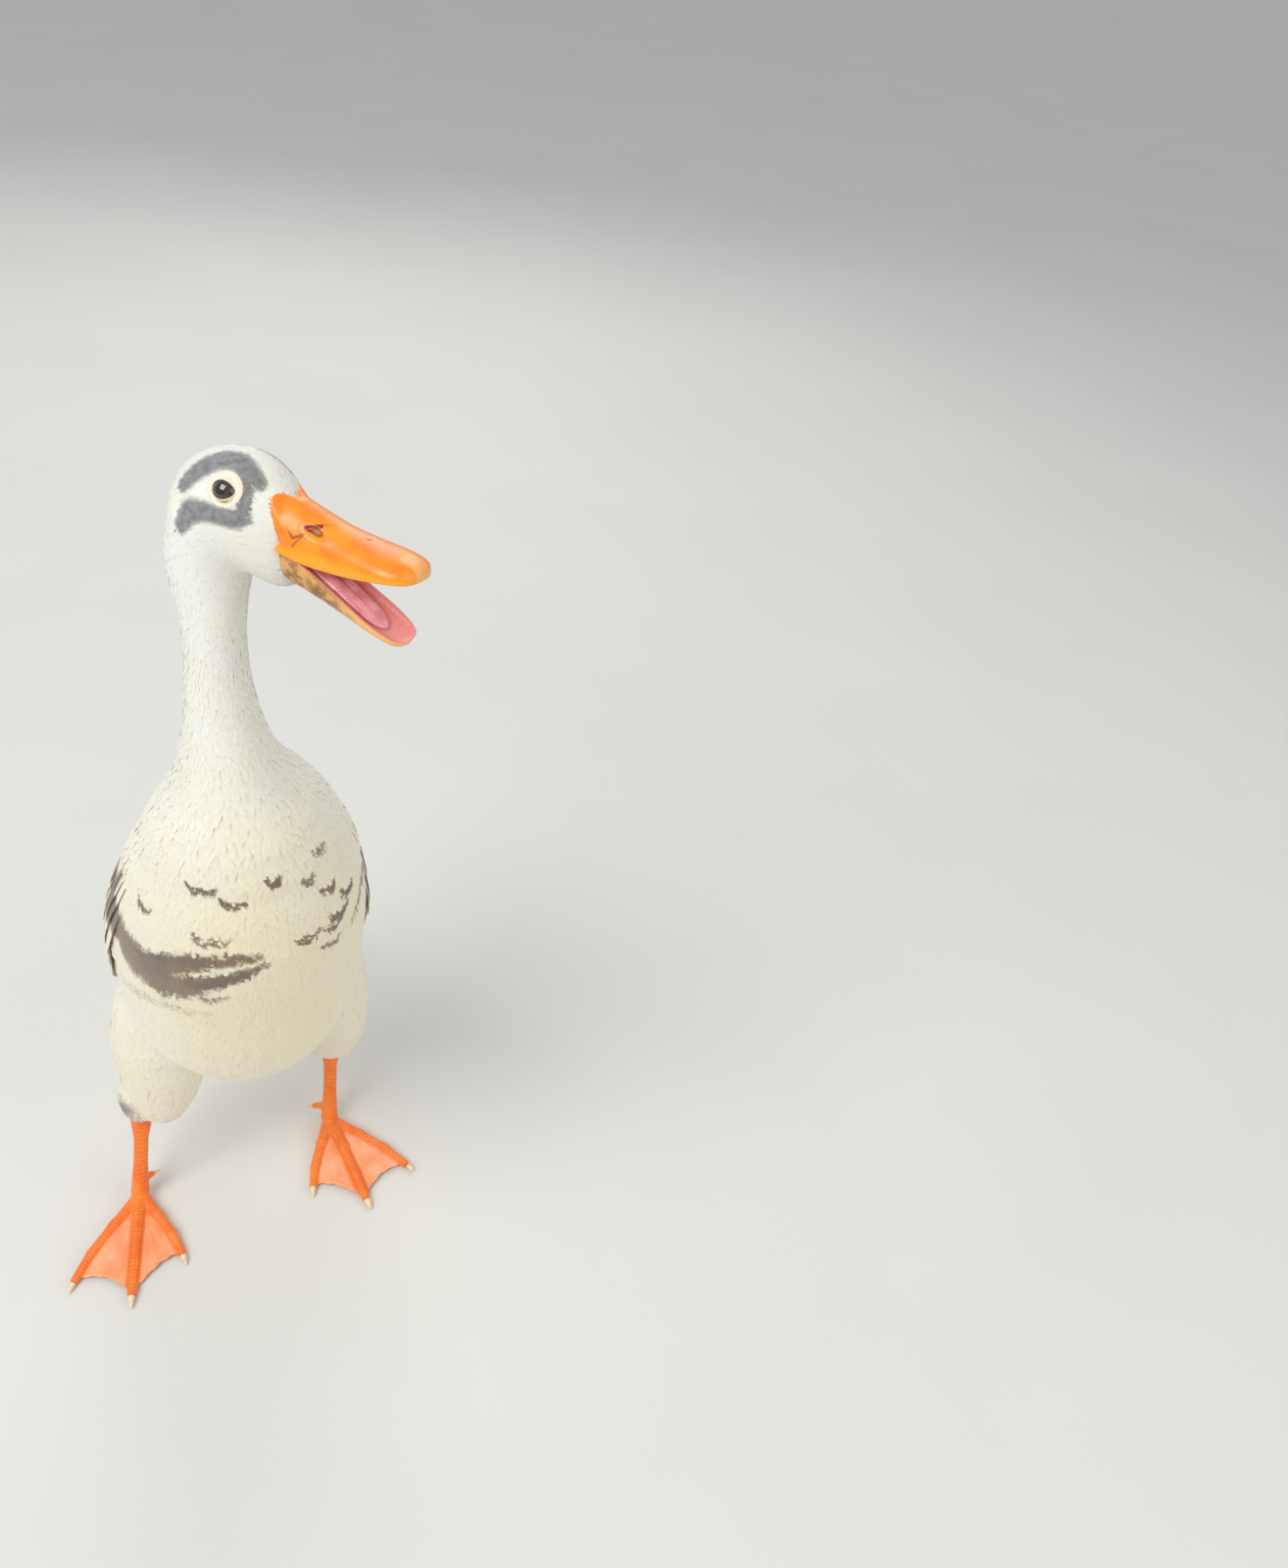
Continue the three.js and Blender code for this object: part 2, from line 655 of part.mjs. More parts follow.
function shank(place, leg) {
  const foot = place(0, 0, SHANK.end);
  const path = [0, 0.12, 0.3, 0.6, 0.85, 1].map((u) => {
    const knee = SHANK.knee * Math.max(0, 1 - u / 0.3);
    const root = SHANK.root * Math.max(0, u - 0.6);
    return { at: hockOf(leg).lerp(foot, u), radius: SHANK.radius + knee + root };
  });
  return tube(path, SHANK.sides);
}

function hindPath(place, from, to, thick) {
  return [0, 0.5, 1].map((t) => {
    const u = mix(from, to, t);
    const reach = HIND_TOE.from + HIND_TOE.long * u;
    const at = ahead(place, HIND_TOE.turn, reach, HIND_TOE.z - HIND_TOE.drop * u);
    return { at, radius: thick * mix(1, 0.7, t) };
  });
}

function thighSolid(leg, grow = 0) {
  const hip = bodyCentre(HIP).add(vec(leg.side * leg.hip, 0, 0));
  const low = hockOf(leg).add(vec(0, 0, THIGH_LOW));
  const path = THIGH.map(({ down, in: inward, radius }) => ({
    at: hip.clone().lerp(low, down).add(vec(-leg.side * leg.tuck * inward, 0, 0)),
    radius: radius + grow,
  }));
  return tube(path, THIGH_SIDES, null, low.clone().add(vec(0, 0, -grow)));
}

const duck = new THREE.Group();

function add(name, made, color, roughness = 0.8) {
  const mesh = made.getMesh();
  const geometry = new THREE.BufferGeometry();
  const positions = new Float32Array(mesh.numVert * 3);
  for (let i = 0; i < mesh.numVert; i++) {
    const from = i * mesh.numProp;
    positions.set(mesh.vertProperties.subarray(from, from + 3), i * 3);
  }
  geometry.setAttribute("position", new THREE.BufferAttribute(positions, 3));
  geometry.setIndex(new THREE.BufferAttribute(mesh.triVerts, 1));
  geometry.computeVertexNormals();
  const material = new THREE.MeshStandardMaterial({ color, roughness, metalness: 0 });
  const node = new THREE.Mesh(geometry, material);
  node.name = name;
  duck.add(node);
}

// Torso, neck and the core of the tail are one body, parted by thin cuts
const body = bodySolid();
const bodyGrown = bodySolid(GAP);
const headGrown = join([headSolid(GAP), bodyGrown.intersect(pastCut(HEAD_CUT, 1))]);
add("torso", body.intersect(pastCut(TAIL_CUT, 1)).intersect(pastCut(NECK_CUT, -1)), WHITE);
const neck = body.intersect(pastCut(NECK_CUT, 1)).intersect(pastCut(HEAD_CUT, -1));
add("neck", largest(neck.subtract(headSolid(GAP))), WHITE);
const behind = pastCut(TAIL_CUT, -1);
add("tail", largest(join([body, ...tailVanes()]).intersect(behind)), WHITE);

// The head, with its lids, eye sockets and the opening of the mouth
const mouth = ellipsoid(
  headFrame,
  vec(MOUTH.x, 0, MOUTH.z),
  vec(MOUTH.long, MOUTH.wide, MOUTH.tall),
);
const headWhole = join([
  headSolid(),
  body.intersect(pastCut(HEAD_CUT, 1)),
  eyeLid(1),
  eyeLid(-1),
]);
add("head", largest(cut(headWhole, [eyeBall(1, GAP), eyeBall(-1, GAP), mouth])), WHITE);
add("eye_left", eyeBall(1), EYE_BROWN, 0.1);
add("eye_right", eyeBall(-1), EYE_BROWN, 0.1);

// Bill and tongue
const upperFrame = jawFrame(UPPER_NOD);
const lowerFrame = jawFrame(LOWER_NOD);
const upperGrown = jaw(UPPER_BILL, upperFrame, 1, GAP);
const lowerGrown = jaw(LOWER_BILL, lowerFrame, -1, GAP);
const nostrils = [1, -1].map((side) =>
  ellipsoid(
    upperFrame,
    vec(NOSTRIL.x, side * NOSTRIL.y, NOSTRIL.z),
    vec(NOSTRIL.long, NOSTRIL.deep, NOSTRIL.tall),
    6,
  ),
);
const upper = cut(jaw(UPPER_BILL, upperFrame, 1), [headGrown, ...nostrils]);
const lower = cut(jaw(LOWER_BILL, lowerFrame, -1), [headGrown, upperGrown]);
add("upper_bill", largest(upper), BILL_ORANGE, 0.4);
add("lower_bill", largest(lower), JAW_YELLOW, 0.5);
const tongue = cut(tongueSolid(), [headGrown, lowerGrown, upperGrown]);
add("tongue", largest(tongue), TONGUE_PINK, 0.4);

// Legs: each a feathered thigh, a bare leg with its webbed foot, and the claws
const floor = halfSpace(vec(0, 0, 0), vec(0, 0, 1));
for (const leg of LEGS) {
  const place = legPlace(leg);
  const [inner, middle, outer] = TOES;
  const pieces = [
    shank(place, leg),
    ...TOES.map((one) => toe(place, one)),
    web(place, inner, middle),
    web(place, middle, outer),
    tube(hindPath(place, 0, 1, HIND_TOE.thick), 8),
  ];
  const foot = join(pieces).intersect(floor);
  add(`thigh_${leg.name}`, largest(thighSolid(leg).subtract(bodyGrown)), WHITE);
  add(`leg_${leg.name}`, largest(foot.subtract(thighSolid(leg, GAP))), ORANGE, 0.55);
  for (const one of TOES) {
    add(`claw_${one.name}_${leg.name}`, claw(place, one), PALE_HORN, 0.5);
  }
  const past = 1 + GAP / HIND_TOE.long;
  const hindClaw = hindPath(place, past, past + HIND_CLAW / HIND_TOE.long, 1.5);
  add(`claw_hind_${leg.name}`, tube(hindClaw, 6), PALE_HORN, 0.5);
}

// Wings, each fused from its core and its tiers of vanes
const tailGrown = join(tailVanes(GAP));
for (const leg of LEGS) {
  const whole = join([wingCore(leg.side), ...wingVanes(leg.side)]);
  const wing = cut(whole, [bodyGrown, tailGrown, thighSolid(leg, GAP)]);
  add(`wing_${leg.name}`, largest(wing), WHITE);
}

// The middle of the duck's foot print is the origin, on the floor
const box = new THREE.Box3().setFromObject(duck);
const centre = box.getCenter(vec());
duck.position.set(-centre.x, -centre.y, -box.min.z);

export default duck;
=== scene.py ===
# %% [markdown]
# An Indian runner duck at life size. It stands upright on two webbed feet, its body
# drawn out like a bottle, its head turned to its left and its bill open. The packed
# solids give every place and size. This script dresses them: one skin, a coat of
# small feathers, larger feathers on the wings and the tail, and bare parts of horn.

# %% Load the frame
import json
import math

import bpy
import numpy as np
from mathutils import Matrix, Vector, kdtree
from mathutils.bvhtree import BVHTree

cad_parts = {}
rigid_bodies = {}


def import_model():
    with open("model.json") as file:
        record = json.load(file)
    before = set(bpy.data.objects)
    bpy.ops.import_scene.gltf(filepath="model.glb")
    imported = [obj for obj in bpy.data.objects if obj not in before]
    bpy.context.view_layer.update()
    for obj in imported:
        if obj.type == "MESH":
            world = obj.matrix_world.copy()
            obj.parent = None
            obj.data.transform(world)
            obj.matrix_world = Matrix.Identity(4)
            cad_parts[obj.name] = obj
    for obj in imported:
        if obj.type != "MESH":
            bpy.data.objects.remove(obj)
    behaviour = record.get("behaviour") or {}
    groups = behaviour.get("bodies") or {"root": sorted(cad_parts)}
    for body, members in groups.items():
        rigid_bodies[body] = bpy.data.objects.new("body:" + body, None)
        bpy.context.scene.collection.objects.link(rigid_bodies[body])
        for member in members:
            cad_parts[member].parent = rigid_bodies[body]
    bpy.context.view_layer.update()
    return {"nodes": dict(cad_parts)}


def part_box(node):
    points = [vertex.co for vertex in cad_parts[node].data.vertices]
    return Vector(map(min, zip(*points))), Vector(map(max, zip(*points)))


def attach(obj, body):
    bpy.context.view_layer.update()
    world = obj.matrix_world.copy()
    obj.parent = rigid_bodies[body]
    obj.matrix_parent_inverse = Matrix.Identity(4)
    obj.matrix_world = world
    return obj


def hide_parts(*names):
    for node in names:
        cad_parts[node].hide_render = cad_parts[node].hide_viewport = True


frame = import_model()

MM = 0.001
chance = np.random.default_rng(11)
scene = bpy.context.scene

# %% [markdown]
# Places on the head are easiest to say along the head itself: x along the bill, y to
# the duck's left, z up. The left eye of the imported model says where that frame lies,
# so every other place follows it. All the numbers below are millimetres.

# %% Find the head
EYE_IN_HEAD = np.array([5.0, 13.8, 10.4])
HEAD_TURN, HEAD_NOD, HEAD_ROLL = -45.0, -6.5, -6.0
SIDES = {"left": 1, "right": -1}


def turn_about(axis, degrees):
    return np.array(Matrix.Rotation(math.radians(degrees), 3, axis))


def box_centre(node):
    low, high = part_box(node)
    return np.array((low + high) / 2) / MM


head_axes = turn_about("Z", HEAD_TURN) @ turn_about("Y", HEAD_NOD) @ turn_about("X", HEAD_ROLL)
left_eye = box_centre("eye_left")
head_at = left_eye - head_axes @ EYE_IN_HEAD


def from_head(places):
    return head_at + np.asarray(places, float) @ head_axes.T


def to_head(places):
    return (np.asarray(places, float) - head_at) @ head_axes


HEAD_IN_DUCK = np.array([22.5, -29.0, 505.0])
duck_at = head_at - HEAD_IN_DUCK
print("head at", head_at.round(2), "duck moved by", duck_at.round(2))

# %% [markdown]
# The camera stands high in front of the duck and looks down on it, a little rolled.
# Its place was fitted to the outline of the standing duck, and is kept here as a
# distance from the left eye.

# %% Set up the camera
CAMERA_FROM_EYE = np.array([-59.774, -489.673, 226.591])
YAW, PITCH, ROLL = (math.radians(a) for a in (26.3, 36.8, -9.2))
PICTURE = (1314, 1600)
FOCAL_PIXELS = 1315

ahead = Vector((math.sin(YAW) * math.cos(PITCH), math.cos(YAW) * math.cos(PITCH), -math.sin(PITCH)))
level = Vector((math.cos(YAW), -math.sin(YAW), 0))
down = ahead.cross(level)
across = level * math.cos(ROLL) + down * math.sin(ROLL)
below = down * math.cos(ROLL) - level * math.sin(ROLL)
camera = bpy.data.objects.new("camera", bpy.data.cameras.new("camera"))
scene.collection.objects.link(camera)
camera.data.sensor_width = 36
camera.data.lens = camera.data.sensor_width * FOCAL_PIXELS / max(PICTURE)
camera.data.clip_end = 100
place = Matrix((across, -below, -ahead)).transposed().to_4x4()
place.translation = Vector((left_eye + CAMERA_FROM_EYE) * MM)
camera.matrix_world = place
scene.camera = camera
print("lens", round(camera.data.lens, 2), "mm, camera at", place.translation)

# %% [markdown]
# Materials are made of nodes. Writing them as sums keeps them readable, so one small
# class stands for a socket and adds a Math node for each sign in a sum, and another
# builds the material. Numbers that are the same all over go straight onto the shader.


# %% A small kit for materials
class Value:
    """A number that changes over the surface, and that sums can be written with."""

    def __init__(self, finish, socket):
        self.finish, self.socket = finish, socket

    def sum(self, operation, *numbers):
        return self.finish.node("ShaderNodeMath", {"operation": operation}, *numbers)

    def __add__(self, other):
        return self.sum("ADD", self, other)

    def __radd__(self, other):
        return self.sum("ADD", other, self)

    def __sub__(self, other):
        return self.sum("SUBTRACT", self, other)

    def __rsub__(self, other):
        return self.sum("SUBTRACT", other, self)

    def __mul__(self, other):
        return self.sum("MULTIPLY", self, other)

    def at_most(self, other):
        return self.sum("MINIMUM", self, other)

    def at_least(self, other):
        return self.sum("MAXIMUM", self, other)

    def size(self):
        return self.sum("ABSOLUTE", self)

    def wave(self):
        return self.sum("SINE", self)

    def ramp(self, low, high):
        """0 below low, 1 above high, with a soft step between."""
        settings = {"interpolation_type": "SMOOTHSTEP"}
        return self.finish.node("ShaderNodeMapRange", settings, self, low, high)


class Finish:
    """A material on one Principled shader."""

    def __init__(self, name, **constants):
        self.material = bpy.data.materials.new(name)
        self.material.use_nodes = True
        self.tree = self.material.node_tree
        self.shader = self.tree.nodes["Principled BSDF"]
        for socket, value in constants.items():
            self.shader.inputs[socket.replace("_", " ")].default_value = value

    def node(self, kind, settings, *inputs, output=0, **named):
        made = self.tree.nodes.new(kind)
        for key, value in settings.items():
            setattr(made, key, value)
        for key, value in [*enumerate(inputs), *named.items()]:
            key = key.replace("_", " ") if isinstance(key, str) else key
            if isinstance(value, Value):
                self.tree.links.new(value.socket, made.inputs[key])
            elif value is not None:
                made.inputs[key].default_value = value
        return Value(self, made.outputs[output])

    def attribute(self, name, output="Fac"):
        return self.node("ShaderNodeAttribute", {"attribute_name": name}, output=output)

    def uv(self, name):
        return self.node("ShaderNodeUVMap", {"uv_map": name})

    def place(self):
        return self.node("ShaderNodeTexCoord", {}, output="Object")

    def part(self, vector, axis):
        return self.node("ShaderNodeSeparateXYZ", {}, vector, output=axis)

    def scaled(self, vector, by):
        return self.node("ShaderNodeVectorMath", {"operation": "MULTIPLY"}, vector, by)

    def noise(self, vector, scale, detail=3.0, roughness=0.55):
        sizes = {"Scale": scale, "Detail": detail, "Roughness": roughness}
        return self.node("ShaderNodeTexNoise", {}, vector, **sizes)

    def mix(self, share, first, second):
        made = self.tree.nodes.new("ShaderNodeMix")
        made.data_type = "RGBA"
        for socket, value in zip((0, 6, 7), (share, first, second)):
            if isinstance(value, Value):
                self.tree.links.new(value.socket, made.inputs[socket])
            else:
                made.inputs[socket].default_value = value
        return Value(self, made.outputs[2])

    def bump(self, height, distance, strength=1.0):
        named = {"Height": height, "Distance": distance, "Strength": strength}
        return self.node("ShaderNodeBump", {}, **named)

    def wear(self, **sockets):
        for socket, value in sockets.items():
            self.tree.links.new(value.socket, self.shader.inputs[socket.replace("_", " ")])
        return self.material


def colour(text):
    """A colour of the screen, such as 'f08a14', as the shader counts it."""
    shares = [int(text[i : i + 2], 16) / 255 for i in (0, 2, 4)]
    return (*[s / 12.92 if s < 0.04 else ((s + 0.055) / 1.055) ** 2.4 for s in shares], 1.0)


def soft_flesh(weight, green, blue, depth=0.002):
    """Settings for light that enters a surface and comes out again, reddest from deep down."""
    return {"Subsurface_Weight": weight, "Subsurface_Radius": (1, green, blue), "Subsurface_Scale": depth}


# %% [markdown]
# The stage is a pale floor under soft studio light: a broad lamp high on the left, as
# an overcast sky would give, a weaker warm one on the right, and one behind.

# %% Floor, lamps and sky
FLOOR_HALF = 20.0
LAMPS_LOOK_AT = Vector((0.0, 0.0, 0.3))
LAMPS = [  # name, place, size, watts, tint
    ("key", (-1.3, -0.9, 1.9), 1.4, 38, (0.98, 0.99, 1.0)),
    ("fill", (1.5, -1.3, 0.9), 1.5, 10, (1.0, 0.94, 0.85)),
    ("back", (0.4, 1.8, 1.5), 1.2, 12, (1.0, 0.98, 0.95)),
]

bpy.ops.object.select_all(action="DESELECT")
bpy.ops.mesh.primitive_plane_add(size=2 * FLOOR_HALF)
floor = bpy.context.active_object
floor.name = "floor"
paper = Finish("pale floor", Roughness=0.9)
speckle = paper.noise(paper.place(), 3.0)
floor.data.materials.append(paper.wear(Base_Color=paper.mix(speckle, colour("d2d0ca"), colour("dad8d2"))))
for name, place, size, watts, tint in LAMPS:
    lamp = bpy.data.objects.new(name, bpy.data.lights.new(name, "AREA"))
    scene.collection.objects.link(lamp)
    lamp.data.size = size
    lamp.data.energy = watts
    lamp.data.color = tint
    lamp.location = Vector(place)
    lamp.rotation_euler = (LAMPS_LOOK_AT - lamp.location).to_track_quat("-Z", "Y").to_euler()
scene.world = bpy.data.worlds.new("sky")
scene.world.use_nodes = True
sky = scene.world.node_tree.nodes["Background"].inputs
sky["Color"].default_value = (0.86, 0.9, 0.95, 1)
sky["Strength"].default_value = 0.64
scene.view_settings.view_transform = "Standard"
print("stage set, floor", 2 * FLOOR_HALF, "m wide")

# %% [markdown]
# The skin is one closed surface under all the plumage. By hand it could be sculpted.
# Here copies of the solids of flesh are joined, grown a little so that the gaps
# between them close, and remeshed in small cubes, which welds them without a seam.
# Flank feathers bridge the hollows between trunk and thighs, so the trunk is grown
# out a long way, welded, smoothed and drawn back, which leaves the hollows filled.

# %% Join the flesh into one skin
FLESH = ("torso", "neck", "head", "thigh_left", "thigh_right")
JOIN_GROW = 0.4
SKIN_CELL = 1.5
FILL = 21.0
FILL_ENDS = (330, 400)  # the heights between which the filling fades out up the neck
TAIL_FLESH = {"at": (6, 122, 111.5), "half": (21, 44, 8.5), "slope": -18.8}
HOCKS = {"left": (66.5, 74, 68), "right": (-53.5, 46, 68)}
CUFF_HALF = (11.5, 13, 24)  # the flesh that leads each thigh down to its hock


def choose(*objects):
    bpy.ops.object.select_all(action="DESELECT")
    for o in objects:
        o.select_set(True)
    bpy.context.view_layer.objects.active = objects[0]


def edit_all(o, operation, **settings):
    """Runs one operation on the whole mesh of an object."""
    choose(o)
    bpy.ops.object.mode_set(mode="EDIT")
    bpy.ops.mesh.select_all(action="SELECT")
    operation(**settings)
    bpy.ops.object.mode_set(mode="OBJECT")


def face_outwards(o):
    edit_all(o, bpy.ops.mesh.normals_make_consistent, inside=False)


def copy_nodes(*names):
    """A merged copy of CAD nodes as one new object."""
    made = []
    for name in names:
        o = frame["nodes"][name].copy()
        o.data = o.data.copy()
        for key in list(o.keys()):
            del o[key]
        o.parent = None
        scene.collection.objects.link(o)
        made.append(o)
    choose(*made)
    if len(made) > 1:
        bpy.ops.object.join()
    merged = bpy.context.active_object
    edit_all(merged, bpy.ops.mesh.remove_doubles, threshold=1e-6)
    merged.data.materials.clear()
    return merged


def modify(o, kind, **settings):
    """Adds a modifier with these settings and applies it."""
    choose(o)
    modifier = o.modifiers.new(kind.lower(), kind)
    for key, value in settings.items():
        setattr(modifier, key, value)
    bpy.ops.object.modifier_apply(modifier=modifier.name)


def remesh(o, cell):
    modify(o, "REMESH", mode="VOXEL", voxel_size=cell * MM, use_smooth_shade=True)


def grow(o, by, **where):
    modify(o, "DISPLACE", strength=by * MM, mid_level=0, **where)


def add_flesh(o, at, half, slope=0.0):
    """Joins an egg of flesh to the skin, to be melted into it by the next remesh."""
    bpy.ops.object.select_all(action="DESELECT")
    middle = Vector(np.add(at, duck_at) * MM)
    bpy.ops.mesh.primitive_uv_sphere_add(segments=32, ring_count=20, radius=1, location=middle)
    egg = bpy.context.active_object
    egg.scale = [size * MM for size in half]
    egg.rotation_euler = (math.radians(slope), 0, 0)
    bpy.ops.object.transform_apply(location=True, rotation=True, scale=True)
    choose(o, egg)
    bpy.ops.object.join()


def trunk_group(o):
    """A vertex group that takes in the trunk and fades out up the neck."""
    group = o.vertex_groups.get("trunk") or o.vertex_groups.new(name="trunk")
    low, high = (end * MM for end in FILL_ENDS)
    for v in o.data.vertices:
        share = min(max((high - v.co.z) / (high - low), 0), 1)
        group.add([v.index], share * share * (3 - 2 * share), "REPLACE")
    return group.name


skin = copy_nodes(*FLESH)
grow(skin, JOIN_GROW)
add_flesh(skin, **TAIL_FLESH)
skin.name = skin.data.name = "skin"
remesh(skin, SKIN_CELL)
grow(skin, FILL, vertex_group=trunk_group(skin))
remesh(skin, SKIN_CELL)
modify(skin, "SMOOTH", factor=0.5, iterations=30, vertex_group=trunk_group(skin))
grow(skin, -FILL, vertex_group=trunk_group(skin))
for x, y, z in HOCKS.values():
    add_flesh(skin, (x, y - 3, z + CUFF_HALF[2] - 3), CUFF_HALF)
remesh(skin, SKIN_CELL)
modify(skin, "SMOOTH", factor=0.5, iterations=6)
print("skin:", len(skin.data.polygons), "faces")

# %% [markdown]
# The next steps ask many questions of the skin: what lies nearest, which way it
# faces, what its neighbours say. Its points are read once into arrays, and a search
# tree answers for places between them.


# %% Read the skin into arrays
def read_rows(data, key):
    flat = np.empty(len(data) * 3, np.float32)
    data.foreach_get(key, flat)
    return flat.reshape(-1, 3).astype(float)


def points_of(o):
    return read_rows(o.data.vertices, "co") / MM


def normals_of(o):
    return read_rows(o.data.vertex_normals, "vector")


def set_points(o, points):
    o.data.vertices.foreach_set("co", (points * MM).astype(np.float32).ravel())
    o.data.update()


def tree_of(*objects):
    points, faces = [], []
    for o in objects:
        start = len(points)
        points += [tuple(p) for p in points_of(o)]
        faces += [[start + v for v in face.vertices] for face in o.data.polygons]
    return BVHTree.FromPolygons(points, faces)


def unit(vectors):
    return vectors / np.maximum(np.linalg.norm(vectors, axis=-1, keepdims=True), 1e-9)


def ease(x, low, high):
    """0 below low, 1 above high, with a soft step between."""
    t = np.clip((np.asarray(x, float) - low) / (high - low), 0, 1)
    return t * t * (3 - 2 * t)


flat_edges = np.empty(len(skin.data.edges) * 2, np.int32)
skin.data.edges.foreach_get("vertices", flat_edges)
skin_edges = flat_edges.reshape(-1, 2)
skin_degree = np.bincount(skin_edges.ravel(), minlength=len(skin.data.vertices))


def spread(field, times):
    """Averages a field with its neighbours on the skin, over and over."""
    a, b = skin_edges.T
    for _ in range(times):
        columns = field.reshape(len(field), -1)
        near = np.stack([np.bincount(a, column[b], len(field)) + np.bincount(b, column[a], len(field))
                         for column in columns.T], axis=1)
        columns = 0.5 * columns + 0.5 * near / np.maximum(skin_degree, 1)[:, None]
        field = columns.reshape(field.shape)
    return field


# %% [markdown]
# Feathers lie along a bird like slates on a roof: back over the head, down the neck
# and the body, back to the tail, and down each thigh. A line drawn through the middle
# of the body gives that direction. Every point of the skin takes it from the stretch
# of line beside it, measured against the body's own thickness there.

# %% Draw the line of the body
BODY_LINE = [  # the middle of the body and its mean radius, from the tail up
    (6, 196, 90, 9), (6, 151, 104, 9), (6, 128, 110, 13), (7, 104, 120, 22), (8, 79, 139, 38),
    (9.5, 56, 170, 55), (11.5, 32, 211, 63), (13, 8, 259, 61), (14.5, -14, 307, 54), (13, -26, 350, 39),
    (9.3, -31, 386, 24), (7.6, -31, 420, 16), (7.6, -29, 453, 14.5), (8.5, -26, 480, 17),
]
FACE_LINE = [(-12, 0, -3, 19), (4, 0, 0, 20), (18, 0, -2, 18), (30, 0, -4, 13)]
THIGH_LINE = [(0.0, 26), (0.5, 27), (0.85, 20), (1.05, 12)]
HIPS = {"left": (53.5, 50, 181), "right": (-25.5, 50, 181)}
LINE_STEPS = 8


def drawn(points, per_stretch=LINE_STEPS):
    """A smooth line through the points, with its place and how far along it lies at each step."""
    points = np.asarray(points, float)
    index = np.linspace(0, len(points) - 1, (len(points) - 1) * per_stretch + 1)
    i = np.clip(index.astype(int), 0, len(points) - 2)
    t = (index - i)[:, None]
    p0, p1 = points[np.maximum(i - 1, 0)], points[i]
    p2, p3 = points[i + 1], points[np.minimum(i + 2, len(points) - 1)]
    bend = 2 * p0 - 5 * p1 + 4 * p2 - p3
    twist = 3 * p1 - p0 - 3 * p2 + p3
    return index, 0.5 * (2 * p1 + t * (p2 - p0 + t * (bend + t * twist)))


trunk = np.array(BODY_LINE, float) + [*duck_at, 0]
face = np.array(FACE_LINE, float)
face[:, :3] = from_head(face[:, :3])
station, line = drawn(np.vstack([trunk, face]))
line_way = -unit(np.gradient(line[:, :3], axis=0))
line_parts = [np.zeros(len(line))]
for side, part in (("left", 1), ("right", 2)):
    hip, hock = (np.array(ends[side]) + duck_at for ends in (HIPS, HOCKS))
    rows = [(*(hip + (hock - hip) * u), radius) for u, radius in THIGH_LINE]
    leg_station, leg_line = drawn(rows)
    line = np.vstack([line, leg_line])
    line_way = np.vstack([line_way, unit(np.gradient(leg_line[:, :3], axis=0))])
    station = np.append(station, 4.2 - leg_station / 3)
    line_parts.append(np.full(len(leg_line), part))
line_part = np.concatenate(line_parts)
body_points, body_station = line[line_part == 0], station[line_part == 0]


def beside_line(points):
    """The station, the lie and the share of each leg for points of the skin."""
    shares = np.empty((len(points), 3))
    at = np.empty(len(points))
    way = np.empty((len(points), 3))
    for start in range(0, len(points), 20000):
        some = points[start : start + 20000]
        far = np.linalg.norm(some[:, None] - line[None, :, :3], axis=2) / line[:, 3]
        weight = (far.min(1)[:, None] / far) ** 10
        weight /= weight.sum(1)[:, None]
        end = start + len(some)
        at[start:end] = weight @ station
        way[start:end] = weight @ line_way
        for part in range(3):
            shares[start:end, part] = weight[:, line_part == part].sum(1)
    return at, way, shares


def middle_at(stations):
    """The middle of the body at a station, or at many."""
    return np.stack([np.interp(stations, body_station, body_points[:, k]) for k in range(3)], axis=-1)


def left_of(axis):
    """The way to the duck's left, square to a direction."""
    return unit(np.array([1.0, 0, 0]) - axis * axis[0])


print("line of the body:", len(line), "points")

# %% [markdown]
# The solids already reach out to the tips of the coat, so the skin has to lie deeper
# by the coat's depth: a fraction of a millimetre on the face, a few on the trunk.
# Under the closed wings it swells again, because a folded wing has flesh and many
# layers of feathers. Rays from outside find how high the wing solids stand there.

# %% Sink the skin under the coat and raise it under the wings
DEPTH_AT = [(0, 1.2), (2, 2.0), (5, 2.6), (9, 2.4), (11, 1.6), (13, 1.2), (14.5, 0.9), (17, 0.7)]
WING_COAT = 3.2
LOOK_FROM = 30.0


def along(table, at):
    """A table's second column, read between its rows."""
    places, sizes = zip(*table)
    return np.interp(at, places, sizes)


points = points_of(skin)
at, way, shares = beside_line(points)
depth = along(DEPTH_AT, at) * (1 - 0.2 * (shares[:, 1] + shares[:, 2]))
points = points - normals_of(skin) * (depth + JOIN_GROW)[:, None]
points = spread(points, 2)
set_points(skin, points)

wing_tree = tree_of(frame["nodes"]["wing_left"], frame["nodes"]["wing_right"])
outward = normals_of(skin)
height = np.zeros(len(points))
for i, (p, n) in enumerate(zip(points, outward)):
    if 2 < at[i] < 11:
        hit = wing_tree.ray_cast(Vector(p + n * LOOK_FROM), Vector(-n), LOOK_FROM)
        height[i] = LOOK_FROM - hit[3] if hit[0] else 0
wing_share = spread((height > 0).astype(float), 6)
raised = spread(np.clip(height - WING_COAT, 0, 9), 14)
points = points + outward * raised[:, None]
points = spread(points, 1)
set_points(skin, points)
outward = normals_of(skin)
skin_tree = tree_of(skin)
print("under the wings:", int((height > 0).sum()), "points, raised by", round(raised.max(), 1), "mm at most")

# %% Lay the directions of the feathers over the skin
at, way, shares = beside_line(points)
lie = spread(unit(way - outward * (way * outward).sum(1)[:, None]), 8)
lie = unit(lie - outward * (lie * outward).sum(1)[:, None])
faces_of_skin = np.array([tuple(face.vertices)[:3] for face in skin.data.polygons])
in_head = to_head(points)
print("stations from", round(at.min(), 2), "to", round(at.max(), 2))

